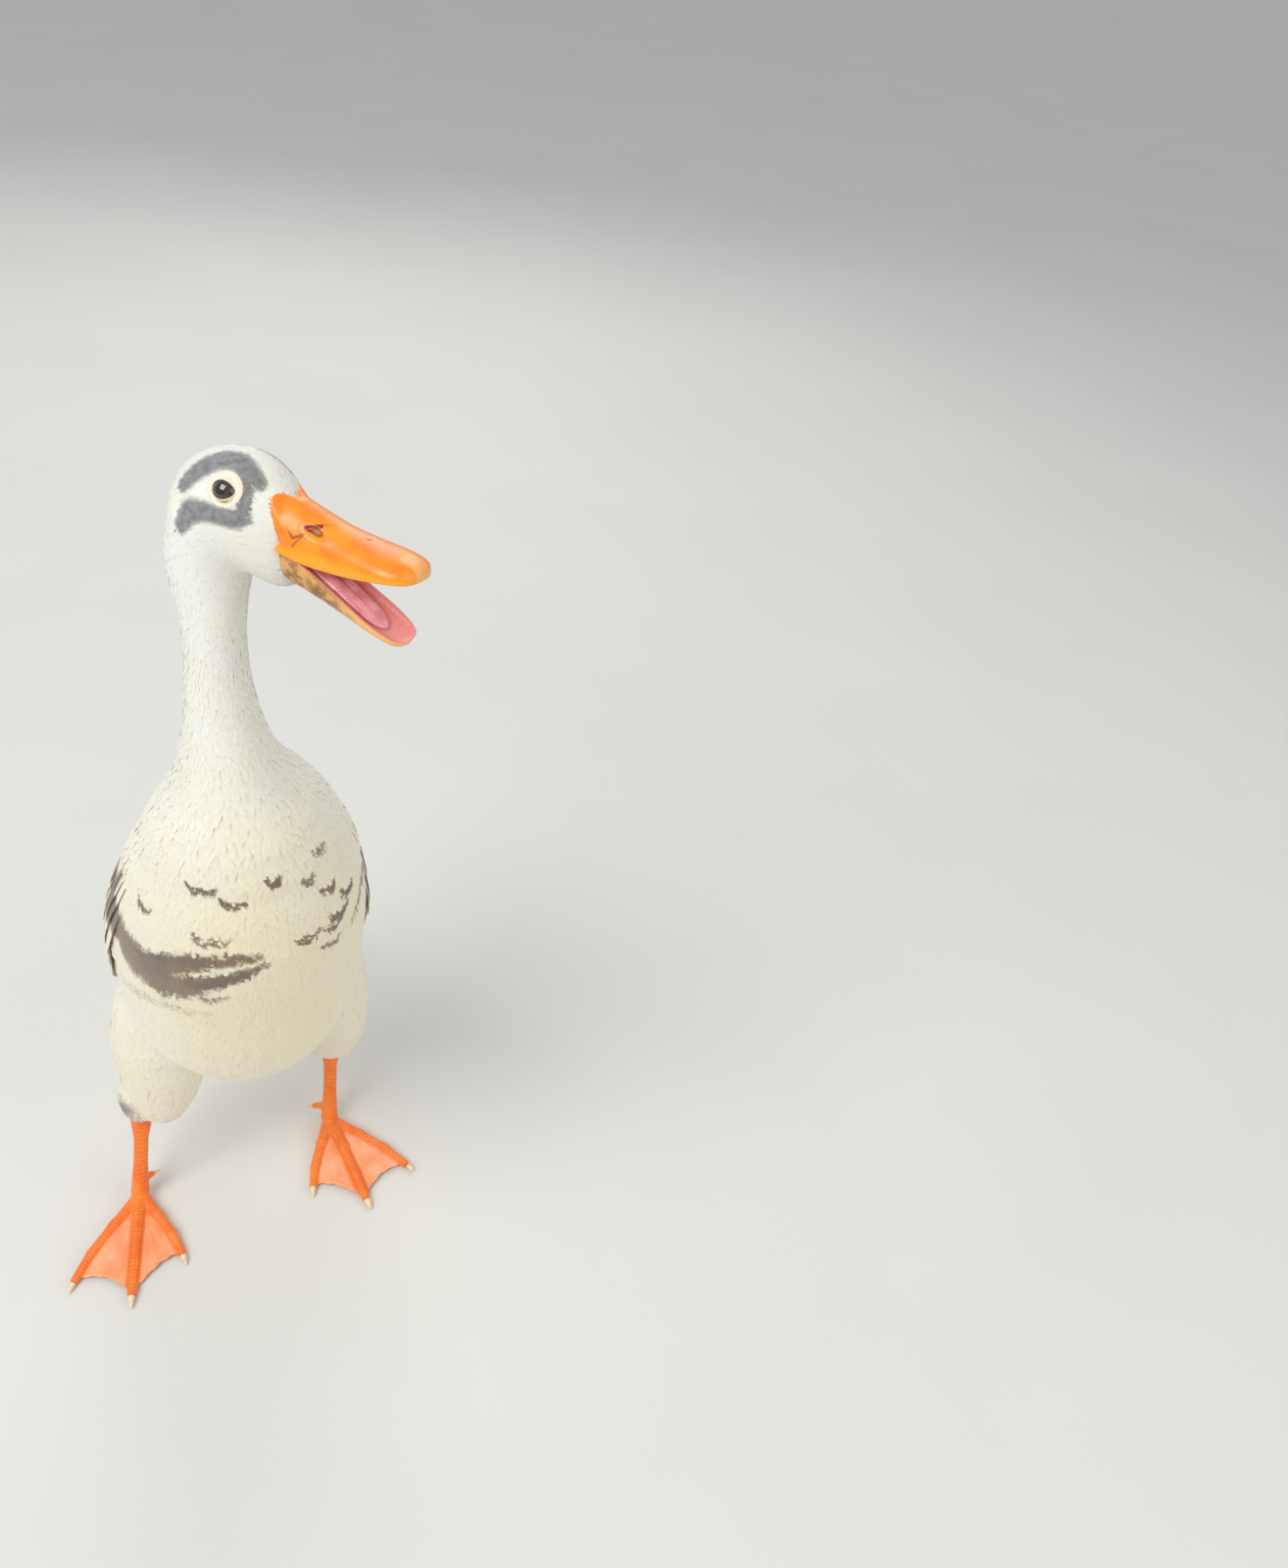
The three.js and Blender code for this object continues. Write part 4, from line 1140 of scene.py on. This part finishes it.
def rest_on_face(rings):
    """Moves the root's columns back to the feathers' edge and down onto the skin."""
    rings = rings.copy()
    sides = rings.shape[1]
    first_fixed = int(np.argmax(rings[:, 0, 0] > ROOT_END))
    for j in range(sides):
        column = rings[:, j]
        side, up = column[0, 1], column[0, 2]
        outside = j < OUTSIDE or j > sides - OUTSIDE
        angle = math.degrees(math.atan2(abs(side), up - JAW_HINGE[2]))
        start = along(FACE_EDGE, angle) - 1.6 if outside else INNER_ROOT
        xs = start + (column[first_fixed, 0] - start) * np.linspace(0, 1, first_fixed + 1)
        moved = np.stack([np.interp(xs, column[:, 0], column[:, k]) for k in range(3)], axis=1)
        if outside:
            axis = np.array([start, 0.0, -5.0])
            way = unit(moved[0] - axis)
            hit = skin_below(axis, way, 40, 40)
            if hit[0]:
                target = to_head(np.array(hit[0])) + way * 0.2
                fall = 1 - ease(xs, start, start + 6)
                moved += (target - moved[0]) * fall[:, None] * [0, 1, 1]
        rings[: first_fixed + 1, j] = moved
    return rings


def open_nostrils(rings):
    flat = rings.reshape(-1, 3)
    local = to_jaw(flat, UPPER_NOD)
    slope = math.radians(NOSTRIL["slope"])
    dx, dz = local[:, 0] - NOSTRIL["along"], local[:, 2] - NOSTRIL["up"]
    long = (dx * math.cos(slope) - dz * math.sin(slope)) / NOSTRIL["long"]
    tall = (dx * math.sin(slope) + dz * math.cos(slope)) / NOSTRIL["tall"]
    far = np.sqrt(long**2 + tall**2)
    outside = (np.abs(local[:, 1]) > 5) & (local[:, 2] > 2)
    pit = np.where(outside, 1 - ease(far, 0.45, 1.1), 0)
    rim = np.where(outside, np.exp(-(((far - 1.35) / 0.3) ** 2)), 0)
    flat[:, 1] -= np.sign(flat[:, 1]) * (NOSTRIL["deep"] * pit - 0.25 * rim)
    # The pit is pressed in, and is also returned as the mask for the nostril's painted shade.
    return flat.reshape(rings.shape), pit


upper_rings = rest_on_face(jaw_rings(UPPER_JAW, UPPER_RINGS, UPPER_NOD, 1))
upper_rings, nostril = open_nostrils(upper_rings)


def inside_of(rings, first):
    """1 on the columns of a jaw's inside, from the first one on, and 0 elsewhere."""
    columns = np.tile(np.arange(rings.shape[1]), len(rings))
    return ((columns > first) & (columns < rings.shape[1] - first)).astype(float)


def jaw_piece(name, rings, fields):
    """A jaw that keeps its places on the head, for marks that the material draws."""
    o = closed_piece(name, rings, fields)
    layer = o.data.attributes.new("spot", "FLOAT_VECTOR", "POINT")
    layer.data.foreach_set("vector", rings.astype(np.float32).ravel())
    return o


x, y, z = to_jaw(upper_rings, UPPER_NOD).T
upper = jaw_piece("upper_bill_horn", upper_rings, {
    # nostril: the mask of the painted shade in each nostril pit
    "nostril": nostril,
    "rim": 1 - ease(z, -1.5, 2.2),
    "inside": inside_of(upper_rings, 28),
    "nail": ease(x, 50.5, 53) * (1 - ease(np.abs(y), 3.6, 5.4)),
    "root": 1 - ease(x, -2, 14),
})
lower_rings = jaw_rings(LOWER_JAW, LOWER_RINGS, LOWER_NOD, -1)
x, y, z = to_jaw(lower_rings, LOWER_NOD).T
lower = jaw_piece("lower_bill_horn", lower_rings, {
    "inside": inside_of(lower_rings, 25),
    "tip": ease(x, 26, 52),
    "rim": ease(z, -2.4, -0.4),
})
print("jaws:", len(upper.data.polygons), len(lower.data.polygons), "faces")

# %% [markdown]
# The tongue is a soft flat bar in the lower jaw, with a groove along its middle and a
# bright wet ridge on each side of it. It is drawn the same way, in rings.

# %% Draw the tongue
TONGUE_RINGS, TONGUE_COLUMNS = 60, 40
tongue_rings = []
for x, z, wide, tall in stations_of(TONGUE_FORM, TONGUE_RINGS):
    a = np.linspace(0, 2 * math.pi, TONGUE_COLUMNS, endpoint=False)
    up = np.cos(a)
    groove = 0.5 * tall * np.exp(-((wide * np.sin(a) / 1.1) ** 2)) * (up > 0)
    tongue_rings.append(np.column_stack([np.full(len(a), x), wide * np.sin(a), z + tall * up - groove]))
tongue = closed_piece("tongue_flesh", from_jaw(np.array(tongue_rings), LOWER_NOD), {})
print("tongue:", len(tongue.data.polygons), "faces")

# %% [markdown]
# Horn is smooth and a little glossy. The upper jaw is a strong orange, yellower along
# its edge and paler on the nail at its tip, with a dark red scar by the nostril, a
# forked scratch behind it and a small spot near the tip. Each nostril is a shallow pit
# painted dark brown, a painted shade for the depth of the open nostril. The lower jaw
# is a dirty yellow, mottled with brown near the face, and moist pink inside.


# %% Horn and flesh
SCARS = {  # on the right of the upper jaw, as places on the head with half the width
    "scar": [(36.2, -9.2, 1.0, 0.9), (38.6, -8.2, 1.1, 1.3), (41.2, -6.6, 1.6, 0.9)],
    "scar's tail": [(36.5, -8.6, -0.6, 0.6), (40.5, -7.6, -0.4, 0.6)],
    "scratch": [(28.6, -11.6, 0.2, 0.5), (31.6, -11.6, -3.6, 0.7), (36.0, -10.6, -1.6, 0.5)],
    "second scratch": [(31.6, -11.8, -6.6, 0.4), (36.0, -10.4, -1.8, 0.6)],
    "line": [(41.0, -5.6, 2.1, 0.6), (45.0, -3.2, 1.9, 0.4)],
    "spot": [(58.2, -0.8, -1.9, 1.0), (59.0, -0.3, -1.9, 0.9)],
}


def near_stroke(made, spot, name):
    """How near a place lies to a stroke: 1 on its middle, 0 past about its half width."""

    def vector(operation, *inputs, **named):
        return made.node("ShaderNodeVectorMath", {"operation": operation}, *inputs, **named)

    best = None
    ends = np.array(SCARS[name])
    for a, b in zip(ends[:-1], ends[1:]):
        run = b[:3] - a[:3]
        off = vector("SUBTRACT", spot, tuple(a[:3]))
        t = vector("DOT_PRODUCT", off, tuple(run), output=1)
        t = (t * float(1 / (run @ run))).at_least(0.0).at_most(1.0)
        gap = vector("LENGTH", vector("SUBTRACT", off, vector("SCALE", tuple(run), Scale=t)), output=1)
        share = 1 - (gap * float(2 / (a[3] + b[3]))).ramp(0.4, 1.5)
        best = share if best is None else best.at_least(share)
    return best


def horn_finish():
    gloss = {"Roughness": 0.34, "Coat_Weight": 0.15, "Coat_Roughness": 0.25}
    made = Finish("orange horn", **gloss, **soft_flesh(0.1, 0.35, 0.1))
    spot, place = made.attribute("spot", "Vector"), made.place()
    cloud, grain = made.noise(place, 90.0), made.noise(place, 1500.0, detail=4.0)
    near = {name: near_stroke(made, spot, name) for name in SCARS}
    orange = made.mix(cloud.ramp(0.3, 0.7), colour("ec7a06"), colour("f59312"))
    for key, share, tint in (("root", 0.5, "ea7008"), ("rim", 0.75, "f8a51e"), ("nail", 0.55, "f4bf78")):
        orange = made.mix(made.attribute(key) * share, orange, colour(tint))
    fine = near["scratch"].at_least(near["second scratch"]).at_least(near["line"])
    orange = made.mix(fine * 0.75, orange, colour("6f3a12"))
    raw = near["scar"].at_least(near["scar's tail"])
    orange = made.mix((raw * (0.6 + grain * 0.8)).ramp(0.2, 0.75), orange, colour("8a1a08"))
    orange = made.mix(near["spot"] * 0.85, orange, colour("4a1a10"))
    orange = made.mix(made.attribute("inside") * 0.8, orange, colour("e88f6a"))
    # The nostril pits are painted dark brown: painted shade for the depth of the open nostril.
    orange = made.mix(made.attribute("nostril").ramp(0.4, 1.0) * 0.75, orange, colour("5a2405"))
    height = grain * 0.3 + cloud * 0.7
    return made.wear(Base_Color=orange, Normal=made.bump(height, 0.00025, 0.5))


def jaw_finish():
    made = Finish("mottled yellow horn", Roughness=0.4, **soft_flesh(0.1, 0.4, 0.2))
    place = made.place()
    cloud, grain = made.noise(place, 240.0, detail=4.0), made.noise(place, 1400.0)
    tip, rim, inside = made.attribute("tip"), made.attribute("rim"), made.attribute("inside")
    outside = made.mix(cloud.ramp(0.4, 0.62), colour("8a6236"), colour("d79d5c"))
    outside = made.mix(tip * 0.9, outside, colour("efb87c"))
    outside = made.mix(rim * (0.35 + tip * 0.5), outside, colour("f3b25a"))
    pink = made.mix(grain.ramp(0.3, 0.7), colour("d98078"), colour("e79a90"))
    whole = made.mix(inside, outside, pink)
    return made.wear(Base_Color=whole, Normal=made.bump(grain * 0.4 + cloud * 0.6, 0.0004, 0.6))


def tongue_finish():
    wet = {"Roughness": 0.25, "Coat_Weight": 0.4, "Coat_Roughness": 0.15}
    made = Finish("wet tongue", **wet, **soft_flesh(0.2, 0.4, 0.3))
    place = made.place()
    bumps = made.noise(place, 900.0, detail=4.0)
    pink = made.mix(made.noise(place, 150.0).ramp(0.35, 0.65), colour("cf7b80"), colour("e6a0a4"))
    return made.wear(Base_Color=pink, Normal=made.bump(bumps, 0.0003, 0.7))


wear_piece(upper, horn_finish(), "bill", "upper_bill")
wear_piece(lower, jaw_finish(), "jaw", "lower_bill")
wear_piece(tongue, tongue_finish(), "tongue", "tongue")

# %% [markdown]
# A duck's eye is a dark glossy ball of which only the middle shows. It starts as a
# sphere with its poles along the line of sight. The cap round one pole is pulled
# out a little for the cornea, and how far each point lies from that pole is kept, so
# that the material can draw a black pupil and a brown ring round it.

# %% Make the eyes
EYE_RADIUS = 5.4
EYE_UP, EYE_FORWARD = 20.0, 8.0
CORNEA = {"within": 38, "out": 0.35}
PUPIL, IRIS = 22, 44


def eye_axes(side):
    """The eye's own directions on the head: forward, up and out along its sight."""
    up, on = math.radians(EYE_UP), math.radians(EYE_FORWARD)
    out = np.array([math.sin(on), side * math.cos(on) * math.cos(up), math.cos(on) * math.sin(up)])
    forward = left_of(out)  # the head's x
    rise = np.cross(out, forward) * side
    return forward, rise, out


def eye_piece(name, side):
    forward, rise, out = eye_axes(side)
    at_head = EYE_IN_HEAD * [1, side, 1]
    bpy.ops.object.select_all(action="DESELECT")
    bpy.ops.mesh.primitive_uv_sphere_add(segments=48, ring_count=36, radius=EYE_RADIUS * MM)
    ball = bpy.context.active_object
    ball.name = ball.data.name = name
    bpy.ops.object.mode_set(mode="EDIT")
    bpy.ops.mesh.select_all(action="DESELECT")
    bpy.ops.object.mode_set(mode="OBJECT")
    limit = math.cos(math.radians(CORNEA["within"])) * EYE_RADIUS * MM
    for v in ball.data.vertices:
        v.select = v.co.z > limit
    bpy.ops.object.mode_set(mode="EDIT")
    bpy.ops.transform.translate(
        value=(0, 0, CORNEA["out"] * MM), use_proportional_edit=True,
        proportional_edit_falloff="SMOOTH", proportional_size=3 * MM,
    )
    bpy.ops.object.mode_set(mode="OBJECT")
    bpy.ops.object.shade_smooth()
    local = points_of(ball)
    angle = np.degrees(np.arctan2(np.hypot(local[:, 0], local[:, 1]), local[:, 2]))
    keep_fields(ball.data, {"from_sight": angle})
    placed = at_head + local @ np.stack([forward, np.cross(out, forward), out])
    set_points(ball, from_head(placed))
    return ball


def eye_finish():
    made = Finish("wet eye", Roughness=0.06, Coat_Weight=1.0, Coat_Roughness=0.02)
    angle, place = made.attribute("from_sight"), made.place()
    fibre = made.noise(place, 900.0, detail=2.0)
    brown = made.mix(fibre.ramp(0.3, 0.7), colour("2a150b"), colour("4a2a18"))
    ringed = made.mix(angle.ramp(IRIS - 8, IRIS), brown, colour("1a0e08"))
    return made.wear(Base_Color=made.mix(angle.ramp(PUPIL - 1.5, PUPIL + 1.5), colour("030303"), ringed))


wet_eye = eye_finish()
for name, side in SIDES.items():
    wear_piece(eye_piece(f"eyeball_{name}", side), wet_eye, "eye", f"eye_{name}")
print("eyes made")

# %% [markdown]
# Two lids close in on each eye, so that the opening is a long oval with a corner at
# each end. They are bare pale skin in fine folds. Each is a ring of points from the
# inner edge, which rests on the eyeball, over a rolled rim and a crease, out to where
# it dives under the feathers.

# %% Fold the lids
LID_COLUMNS = 72
LID_OPENING = (4.6, 3.4)
LID_OUTSIDE = (7.8, 7.5)
LID_ROWS = [  # share of the way out, height over the base
    (0.0, -0.8), (0.0, 0.0), (0.03, 0.35), (0.1, 0.55), (0.2, 0.55), (0.28, 0.42), (0.36, 0.46),
    (0.46, 0.6), (0.56, 0.55), (0.64, 0.42), (0.74, 0.42), (0.86, 0.2), (1.0, -0.5), (1.0, -1.6),
]


def lid_piece(name, side):
    forward, rise, out = eye_axes(side)
    middle = EYE_IN_HEAD * [1, side, 1]
    rings = []
    for share, lift in LID_ROWS:
        ring = []
        long, tall = (a + (b - a) * share for a, b in zip(LID_OPENING, LID_OUTSIDE))
        for a in np.linspace(0, 2 * math.pi, LID_COLUMNS, endpoint=False):
            pinch = 1 - 0.05 * abs(math.sin(2 * a)) * (1 - share)
            p = long * math.cos(a) * pinch
            q = tall * math.sin(a) * pinch - 0.5 * share
            ball = math.sqrt(max(EYE_RADIUS**2 - min(p * p + q * q, 24), 0)) + 0.25
            flat = middle + forward * p + rise * q
            hit = skin_below(flat, out, 20, 30)
            ground = 20 - hit[3] + 0.7 if hit[0] else ball
            base = ball + (ground - ball) * ease(share, 0.1, 0.9)
            wrinkle = 0.09 * math.sin(23 * a + 9 * share) * math.sin(math.pi * share)
            ring.append(flat + out * (base + lift + wrinkle))
        rings.append(ring)
    last = (len(rings) - 1) * LID_COLUMNS
    faces = ring_faces(len(rings), LID_COLUMNS, ends=False)
    for s in range(LID_COLUMNS):
        n = (s + 1) % LID_COLUMNS
        faces.append((last + s, last + n, n, s))
    shares_out = np.repeat([share for share, _ in LID_ROWS], LID_COLUMNS)
    lid = new_piece(name, from_head(np.array(rings).reshape(-1, 3)), faces, {"outer": shares_out})
    face_outwards(lid)
    modify(lid, "SUBSURF", levels=1, render_levels=1)
    return lid


def lid_finish():
    made = Finish("pale lid", Roughness=0.5, **soft_flesh(0.1, 0.5, 0.3, depth=0.001))
    fine = made.noise(made.place(), 1600.0, detail=3.0)
    pale = made.mix(fine.ramp(0.35, 0.65), colour("e3d3b6"), colour("f1e7d2"))
    dark = made.mix(made.attribute("outer").ramp(0.0, 0.14), colour("7a5a44"), pale)
    return made.wear(Base_Color=dark, Normal=made.bump(fine, 0.0002, 0.6))


pale_lid = lid_finish()
for name, side in SIDES.items():
    wear_piece(lid_piece(f"lid_{name}", side), pale_lid, "plumage")
print("lids made")

# %% [markdown]
# The feathers of the wings and the tail are long blades with a shaft. Each one is a
# thin closed vane, drawn as rings of points along a path over the body: narrow at the
# quill, widest in the middle, rounded or pointed at the tip, and a little arched. On a
# closed wing they lie in tiers, each tier over the roots of the one behind it.

# %% One long feather
VANE_RINGS, VANE_COLUMNS = 16, 9
VANE_THICK = 0.28
VANE_ALONG = [(0, 0.12), (0.08, 0.4), (0.2, 0.78), (0.45, 1.0), (0.75, 0.97), (0.88, 0.8), (0.95, 0.55),
              (1, 0.08)]
VANE_STEPS = np.append(np.linspace(0, 0.86, VANE_RINGS - 5), [0.9, 0.94, 0.97, 0.99, 1.0])


def vane_rings(path, outs, half, tilt=0.0, arch=0.1):
    """Rings of a vane round a path of points, with the way out of the body at each."""
    ways = unit(np.gradient(path, axis=0))
    rings = []
    u = np.linspace(-1, 1, VANE_COLUMNS)
    for t, p, way, out in zip(VANE_STEPS, path, ways, outs):
        out = unit(out - way * (out @ way))
        side = np.cross(way, out)
        side, out = side * math.cos(tilt) + out * math.sin(tilt), out * math.cos(tilt) - side * math.sin(tilt)
        width = half * along(VANE_ALONG, t)
        shaft = 0.22 * np.exp(-((u / 0.09) ** 2)) * (1 - t)
        top = p + side * (u * width)[:, None] + out * (shaft - arch * width * u**2)[:, None]
        under = (top - out * (VANE_THICK * (1 - 0.6 * u**2))[:, None])[::-1]
        rings.append(np.vstack([top, under]))
    return np.array(rings)


vane_u = np.append(np.linspace(0, 1, VANE_COLUMNS), np.linspace(1, 0, VANE_COLUMNS))
VANE_MAP = np.column_stack([np.tile(vane_u, VANE_RINGS), np.repeat(VANE_STEPS, len(vane_u))])
VANE_FACES = ring_faces(VANE_RINGS, 2 * VANE_COLUMNS)


def vanes_piece(name, feathers):
    """One object from many long feathers, each given by its rings."""
    count, size = len(feathers), len(VANE_MAP)
    flat = np.concatenate([feather.reshape(-1, 3) for feather in feathers])
    fields = {
        "brown": marking("brown", flat),
        "grey": np.zeros(len(flat)),
        "warm": warmth(flat, beside_line(flat)[0]),
        "tone": np.repeat(chance.random(count), size),
    }
    cell = math.ceil(math.sqrt(count))
    spot = np.array([(i % cell, i // cell) for i in range(count)]) / cell
    vane = np.tile(VANE_MAP, (count, 1))
    maps = {"OFBake": np.repeat(spot, size, axis=0) + vane * 0.9 / cell, "Vane": vane}
    o = new_piece(name, flat, VANE_FACES, fields, count, maps)
    face_outwards(o)
    wear_piece(o, feather_white, "plumage")
    print(name, count, "feathers")


# %% Places over the body
def over_body(s, angle, lift):
    """A place over the skin: a station, degrees from the back's middle to the left, a lift."""
    middle = middle_at(s)
    axis = unit(middle_at(s + 0.1) - middle_at(s - 0.1))
    left = left_of(axis)
    back = np.cross(axis, left)
    a = math.radians(angle)
    way = left * math.sin(a) + back * math.cos(a)
    hit = skin_tree.ray_cast(Vector(middle + way * 110), Vector(-way), 110)
    ground = np.array(hit[0]) if hit[0] else middle + way * 8
    return ground + way * lift, way


# %% [markdown]
# A closed wing shows, from the tail forwards: the tips of the primaries, the
# secondaries over them, the tertials over both near the back, and then rows of
# coverts that grow shorter towards the shoulder, with the scapulars beside the back.
# Each feather is laid from the place of its root to that of its tip, and tilted so
# that it overlaps the next one.

# %% Lay the wings
WING_TIERS = [  # name, feathers, first and last: root and tip (station, degrees), half width; lifts
    ("primaries", 7, ((5, 46), (2.15, 20), 6.5), ((5, 64), (3.1, 48), 7.5), (0.1, 1.1)),
    ("secondaries", 10, ((6, 44), (3.2, 32), 8.5), ((6, 84), (4.1, 76), 8.5), (0.3, 1.6)),
    ("tertials", 5, ((6.2, 22), (3.0, 14), 8.5), ((6.2, 42), (3.4, 31), 9.5), (0.6, 2.3)),
    ("greater_coverts", 11, ((7.2, 40), (4.95, 36), 8.0), ((7.1, 89), (5.2, 86), 7.5), (0.6, 2.2)),
    ("median_coverts", 11, ((8.0, 42), (6.1, 38), 7.0), ((7.9, 91), (6.3, 90), 6.5), (0.7, 2.2)),
    ("scapulars", 6, ((7.9, 18), (5.0, 12), 8.0), ((8.0, 42), (5.3, 33), 8.5), (0.7, 2.7)),
    ("lesser_coverts", 13, ((8.6, 44), (7.1, 40), 5.2), ((8.5, 92), (7.2, 92), 5.0), (0.8, 2.0)),
]
WING_TILT = 5.0


def wing_feather(root, tip, half, lifts, side):
    path, outs = [], []
    for t in VANE_STEPS:
        s = root[0] + (tip[0] - root[0]) * t
        angle = root[1] + (tip[1] - root[1]) * t
        lift = lifts[0] + (lifts[1] - lifts[0]) * ease(t, 0, 0.55)
        place, way = over_body(s, side * angle, lift)
        path.append(place)
        outs.append(way)
    path = np.array(path)
    for _ in range(3):
        path[1:-1] = (path[:-2] + 2 * path[1:-1] + path[2:]) / 4
    return vane_rings(path, outs, half, tilt=math.radians(side * WING_TILT))


for label, side in SIDES.items():
    for name, count, first, last, lifts in WING_TIERS:
        row = []
        for i in range(count):
            t = i / (count - 1)
            root, tip = (tuple(np.array(first[k]) * (1 - t) + np.array(last[k]) * t) for k in (0, 1))
            half = first[2] * (1 - t) + last[2] * t
            stray = chance.normal(0, 1, 2) * (0.04, 0.7)
            row.append(wing_feather(root, tuple(np.array(tip) + stray), half, lifts, side))
        vanes_piece(f"{name}_{label}", row)

# %% [markdown]
# The tail is short and closed. Its long stiff feathers lie in a flat fan, the middle
# pair on top, and shorter coverts cover their roots from above and below.

# %% Lay the tail
TAIL_FANS = [  # name, feathers, spread, root's station, length, half width, rise, step, droop
    ("tail_feathers", 14, 16, 1.95, 67, 6.8, 3.5, 0.55, 2),
    ("upper_tail_coverts", 7, 13, 2.4, 50, 8.0, 8.0, 0.8, 4),
    ("upper_tail_coverts_short", 7, 18, 2.9, 42, 8.5, 14.0, 1.0, 6),
    ("under_tail_coverts", 7, 13, 2.3, 47, 8.0, -8.0, -0.8, -3),
    ("under_tail_coverts_short", 7, 18, 2.9, 42, 8.5, -16.0, -1.2, -7),
]

for name, count, spread_by, at_root, long, half, rise, step, droop in TAIL_FANS:
    middle = middle_at(at_root)
    axis = unit(middle_at(1.0) - middle_at(2.4))
    left = left_of(axis)
    back = -np.cross(axis, left)
    row = []
    for i in range(count):
        share = 2 * i / (count - 1) - 1
        a = math.radians(spread_by * share)
        way = axis * math.cos(a) + left * math.sin(a)
        root = middle + left * (14 * share) + back * (rise - step * abs(share) * count / 2)
        steps_on = VANE_STEPS[:, None] * long * (1 - 0.12 * share**2)
        path = root + way * steps_on - back * (droop * VANE_STEPS[:, None] ** 2)
        up = back if rise > 0 else -back
        row.append(vane_rings(path, [up + left * share * 0.25] * VANE_RINGS, half, arch=0.07))
    vanes_piece(name, row)

# %% [markdown]
# The legs and feet are bare: plates across the toes and down the front of the shank,
# fine grains elsewhere, and thin webs with folds that fan out from the foot. The CAD
# legs have the right size, so a copy of each is remeshed finely and smoothed, and the
# plates and folds are then pressed into it by moving its points in and out.

# %% Shape the legs and feet
LEG_CELL = 0.6
FEET = {"left": (1, 62, 60, 10.0), "right": (-1, 61, 32, 8.0)}
TOES = {"inner": (-31.0, 53, 4.0), "middle": (0.0, 69, 4.4), "outer": (31.0, 65, 3.9)}
TOE_BOW = 0.1
PLATE = {"pitch": 2.3, "deep": 0.3, "across": 0.35}
SHANK_PLATE = {"pitch": 3.2, "deep": 0.3, "across": 0.35}
LOWEST = 0.02
FOLD = {"high": 0.28, "count": 46}


def grooves(distance, plate):
    """1 in the middle of each groove between plates, which come one pitch apart."""
    off = np.abs((distance / plate["pitch"]) % 1 - 0.5) * plate["pitch"]
    return np.exp(-((off / plate["across"]) ** 2))


def leg_piece(label):
    side, x, y, toe_out = FEET[label]
    leg = copy_nodes(f"leg_{label}")
    leg.name = leg.data.name = f"leg_skin_{label}"
    remesh(leg, LEG_CELL)
    modify(leg, "SMOOTH", factor=0.5, iterations=5)
    places, normals = points_of(leg), normals_of(leg)
    local = (places - [side * x + duck_at[0], y + duck_at[1], 0]) @ turn_about("Z", side * toe_out)
    off, on, z = local[:, 0] * side, -local[:, 1], local[:, 2]
    reach, turn_to = np.hypot(off, on), np.degrees(np.arctan2(off, on))
    toe_share = np.zeros(len(places))
    for turned_by, long, thick in TOES.values():
        u = np.clip(reach / long, 0, 1)
        bowed = turned_by * (1 + TOE_BOW * np.sin(math.pi * u))
        lateral = np.abs(reach * np.sin(np.radians(turn_to - bowed)))
        on_toe = (1 - ease(lateral, thick * 0.7, thick * 1.15)) * (reach < long + 6)
        toe_share = np.maximum(toe_share, on_toe)
    foot = 1 - ease(z, 9, 16)
    top = ease(normals[:, 2], 0.05, 0.5)
    plates = grooves(reach, PLATE) * toe_share * foot * top * ease(reach, 6, 10)
    a = math.radians(side * toe_out)
    front = ease(normals @ [math.sin(a), -math.cos(a), 0], 0.1, 0.6)
    plates_up = grooves(z, SHANK_PLATE) * ease(z, 14, 20) * front
    web = (1 - toe_share) * foot * ease(reach, 12, 24)
    folds = np.sin(np.radians(turn_to) * FOLD["count"] + 0.6 * np.sin(reach / 5)) * web
    moved_by = FOLD["high"] * folds * ease(reach, 15, 55)
    moved_by -= PLATE["deep"] * plates + SHANK_PLATE["deep"] * plates_up
    moved = places + normals * moved_by[:, None]
    moved[:, 2] = np.maximum(moved[:, 2], LOWEST)
    set_points(leg, moved)
    keep_fields(leg.data, {"web": web, "plates": plates + plates_up})
    print(leg.name, len(leg.data.polygons), "faces")
    return leg


def leg_finish():
    made = Finish("orange leg skin", Roughness=0.42, **soft_flesh(0.12, 0.35, 0.15))
    place = made.place()
    cells = made.node("ShaderNodeTexVoronoi", {"feature": "DISTANCE_TO_EDGE"}, place, Scale=760.0)
    grain = cells.ramp(0.0, 0.16)
    cloud = made.noise(place, 60.0)
    orange = made.mix(cloud.ramp(0.3, 0.7), colour("f57624"), colour("fc8c34"))
    pink = made.mix(cloud.ramp(0.3, 0.7), colour("f69e6c"), colour("fcbc94"))
    skin_tone = made.mix(made.attribute("web") * 0.8, orange, pink)
    skin_tone = made.mix(made.attribute("plates") * 0.35, skin_tone, colour("c23f08"))
    skin_tone = made.mix((1 - grain) * 0.18, skin_tone, colour("b84a14"))
    return made.wear(Base_Color=skin_tone, Normal=made.bump(grain, 0.00012, 0.55))


def claw_finish():
    made = Finish("pale claw horn", Roughness=0.35)
    grain = made.noise(made.scaled(made.place(), (1.0, 1.0, 4.0)), 500.0)
    tone = made.mix(grain.ramp(0.3, 0.7), colour("d8b68c"), colour("f0dcbc"))
    return made.wear(Base_Color=tone, Normal=made.bump(grain, 0.0001, 0.5))


orange_skin, pale_horn = leg_finish(), claw_finish()
for label in FEET:
    wear_piece(leg_piece(label), orange_skin, "leg", f"leg_{label}")
for name, node in frame["nodes"].items():
    if name.startswith("claw_"):
        choose(node)
        bpy.ops.object.shade_smooth()
        node.modifiers.new("weld", "WELD")
        rounded = node.modifiers.new("round", "SUBSURF")
        rounded.levels = rounded.render_levels = 2
        node.data.materials.clear()
        node.data.materials.append(pale_horn)
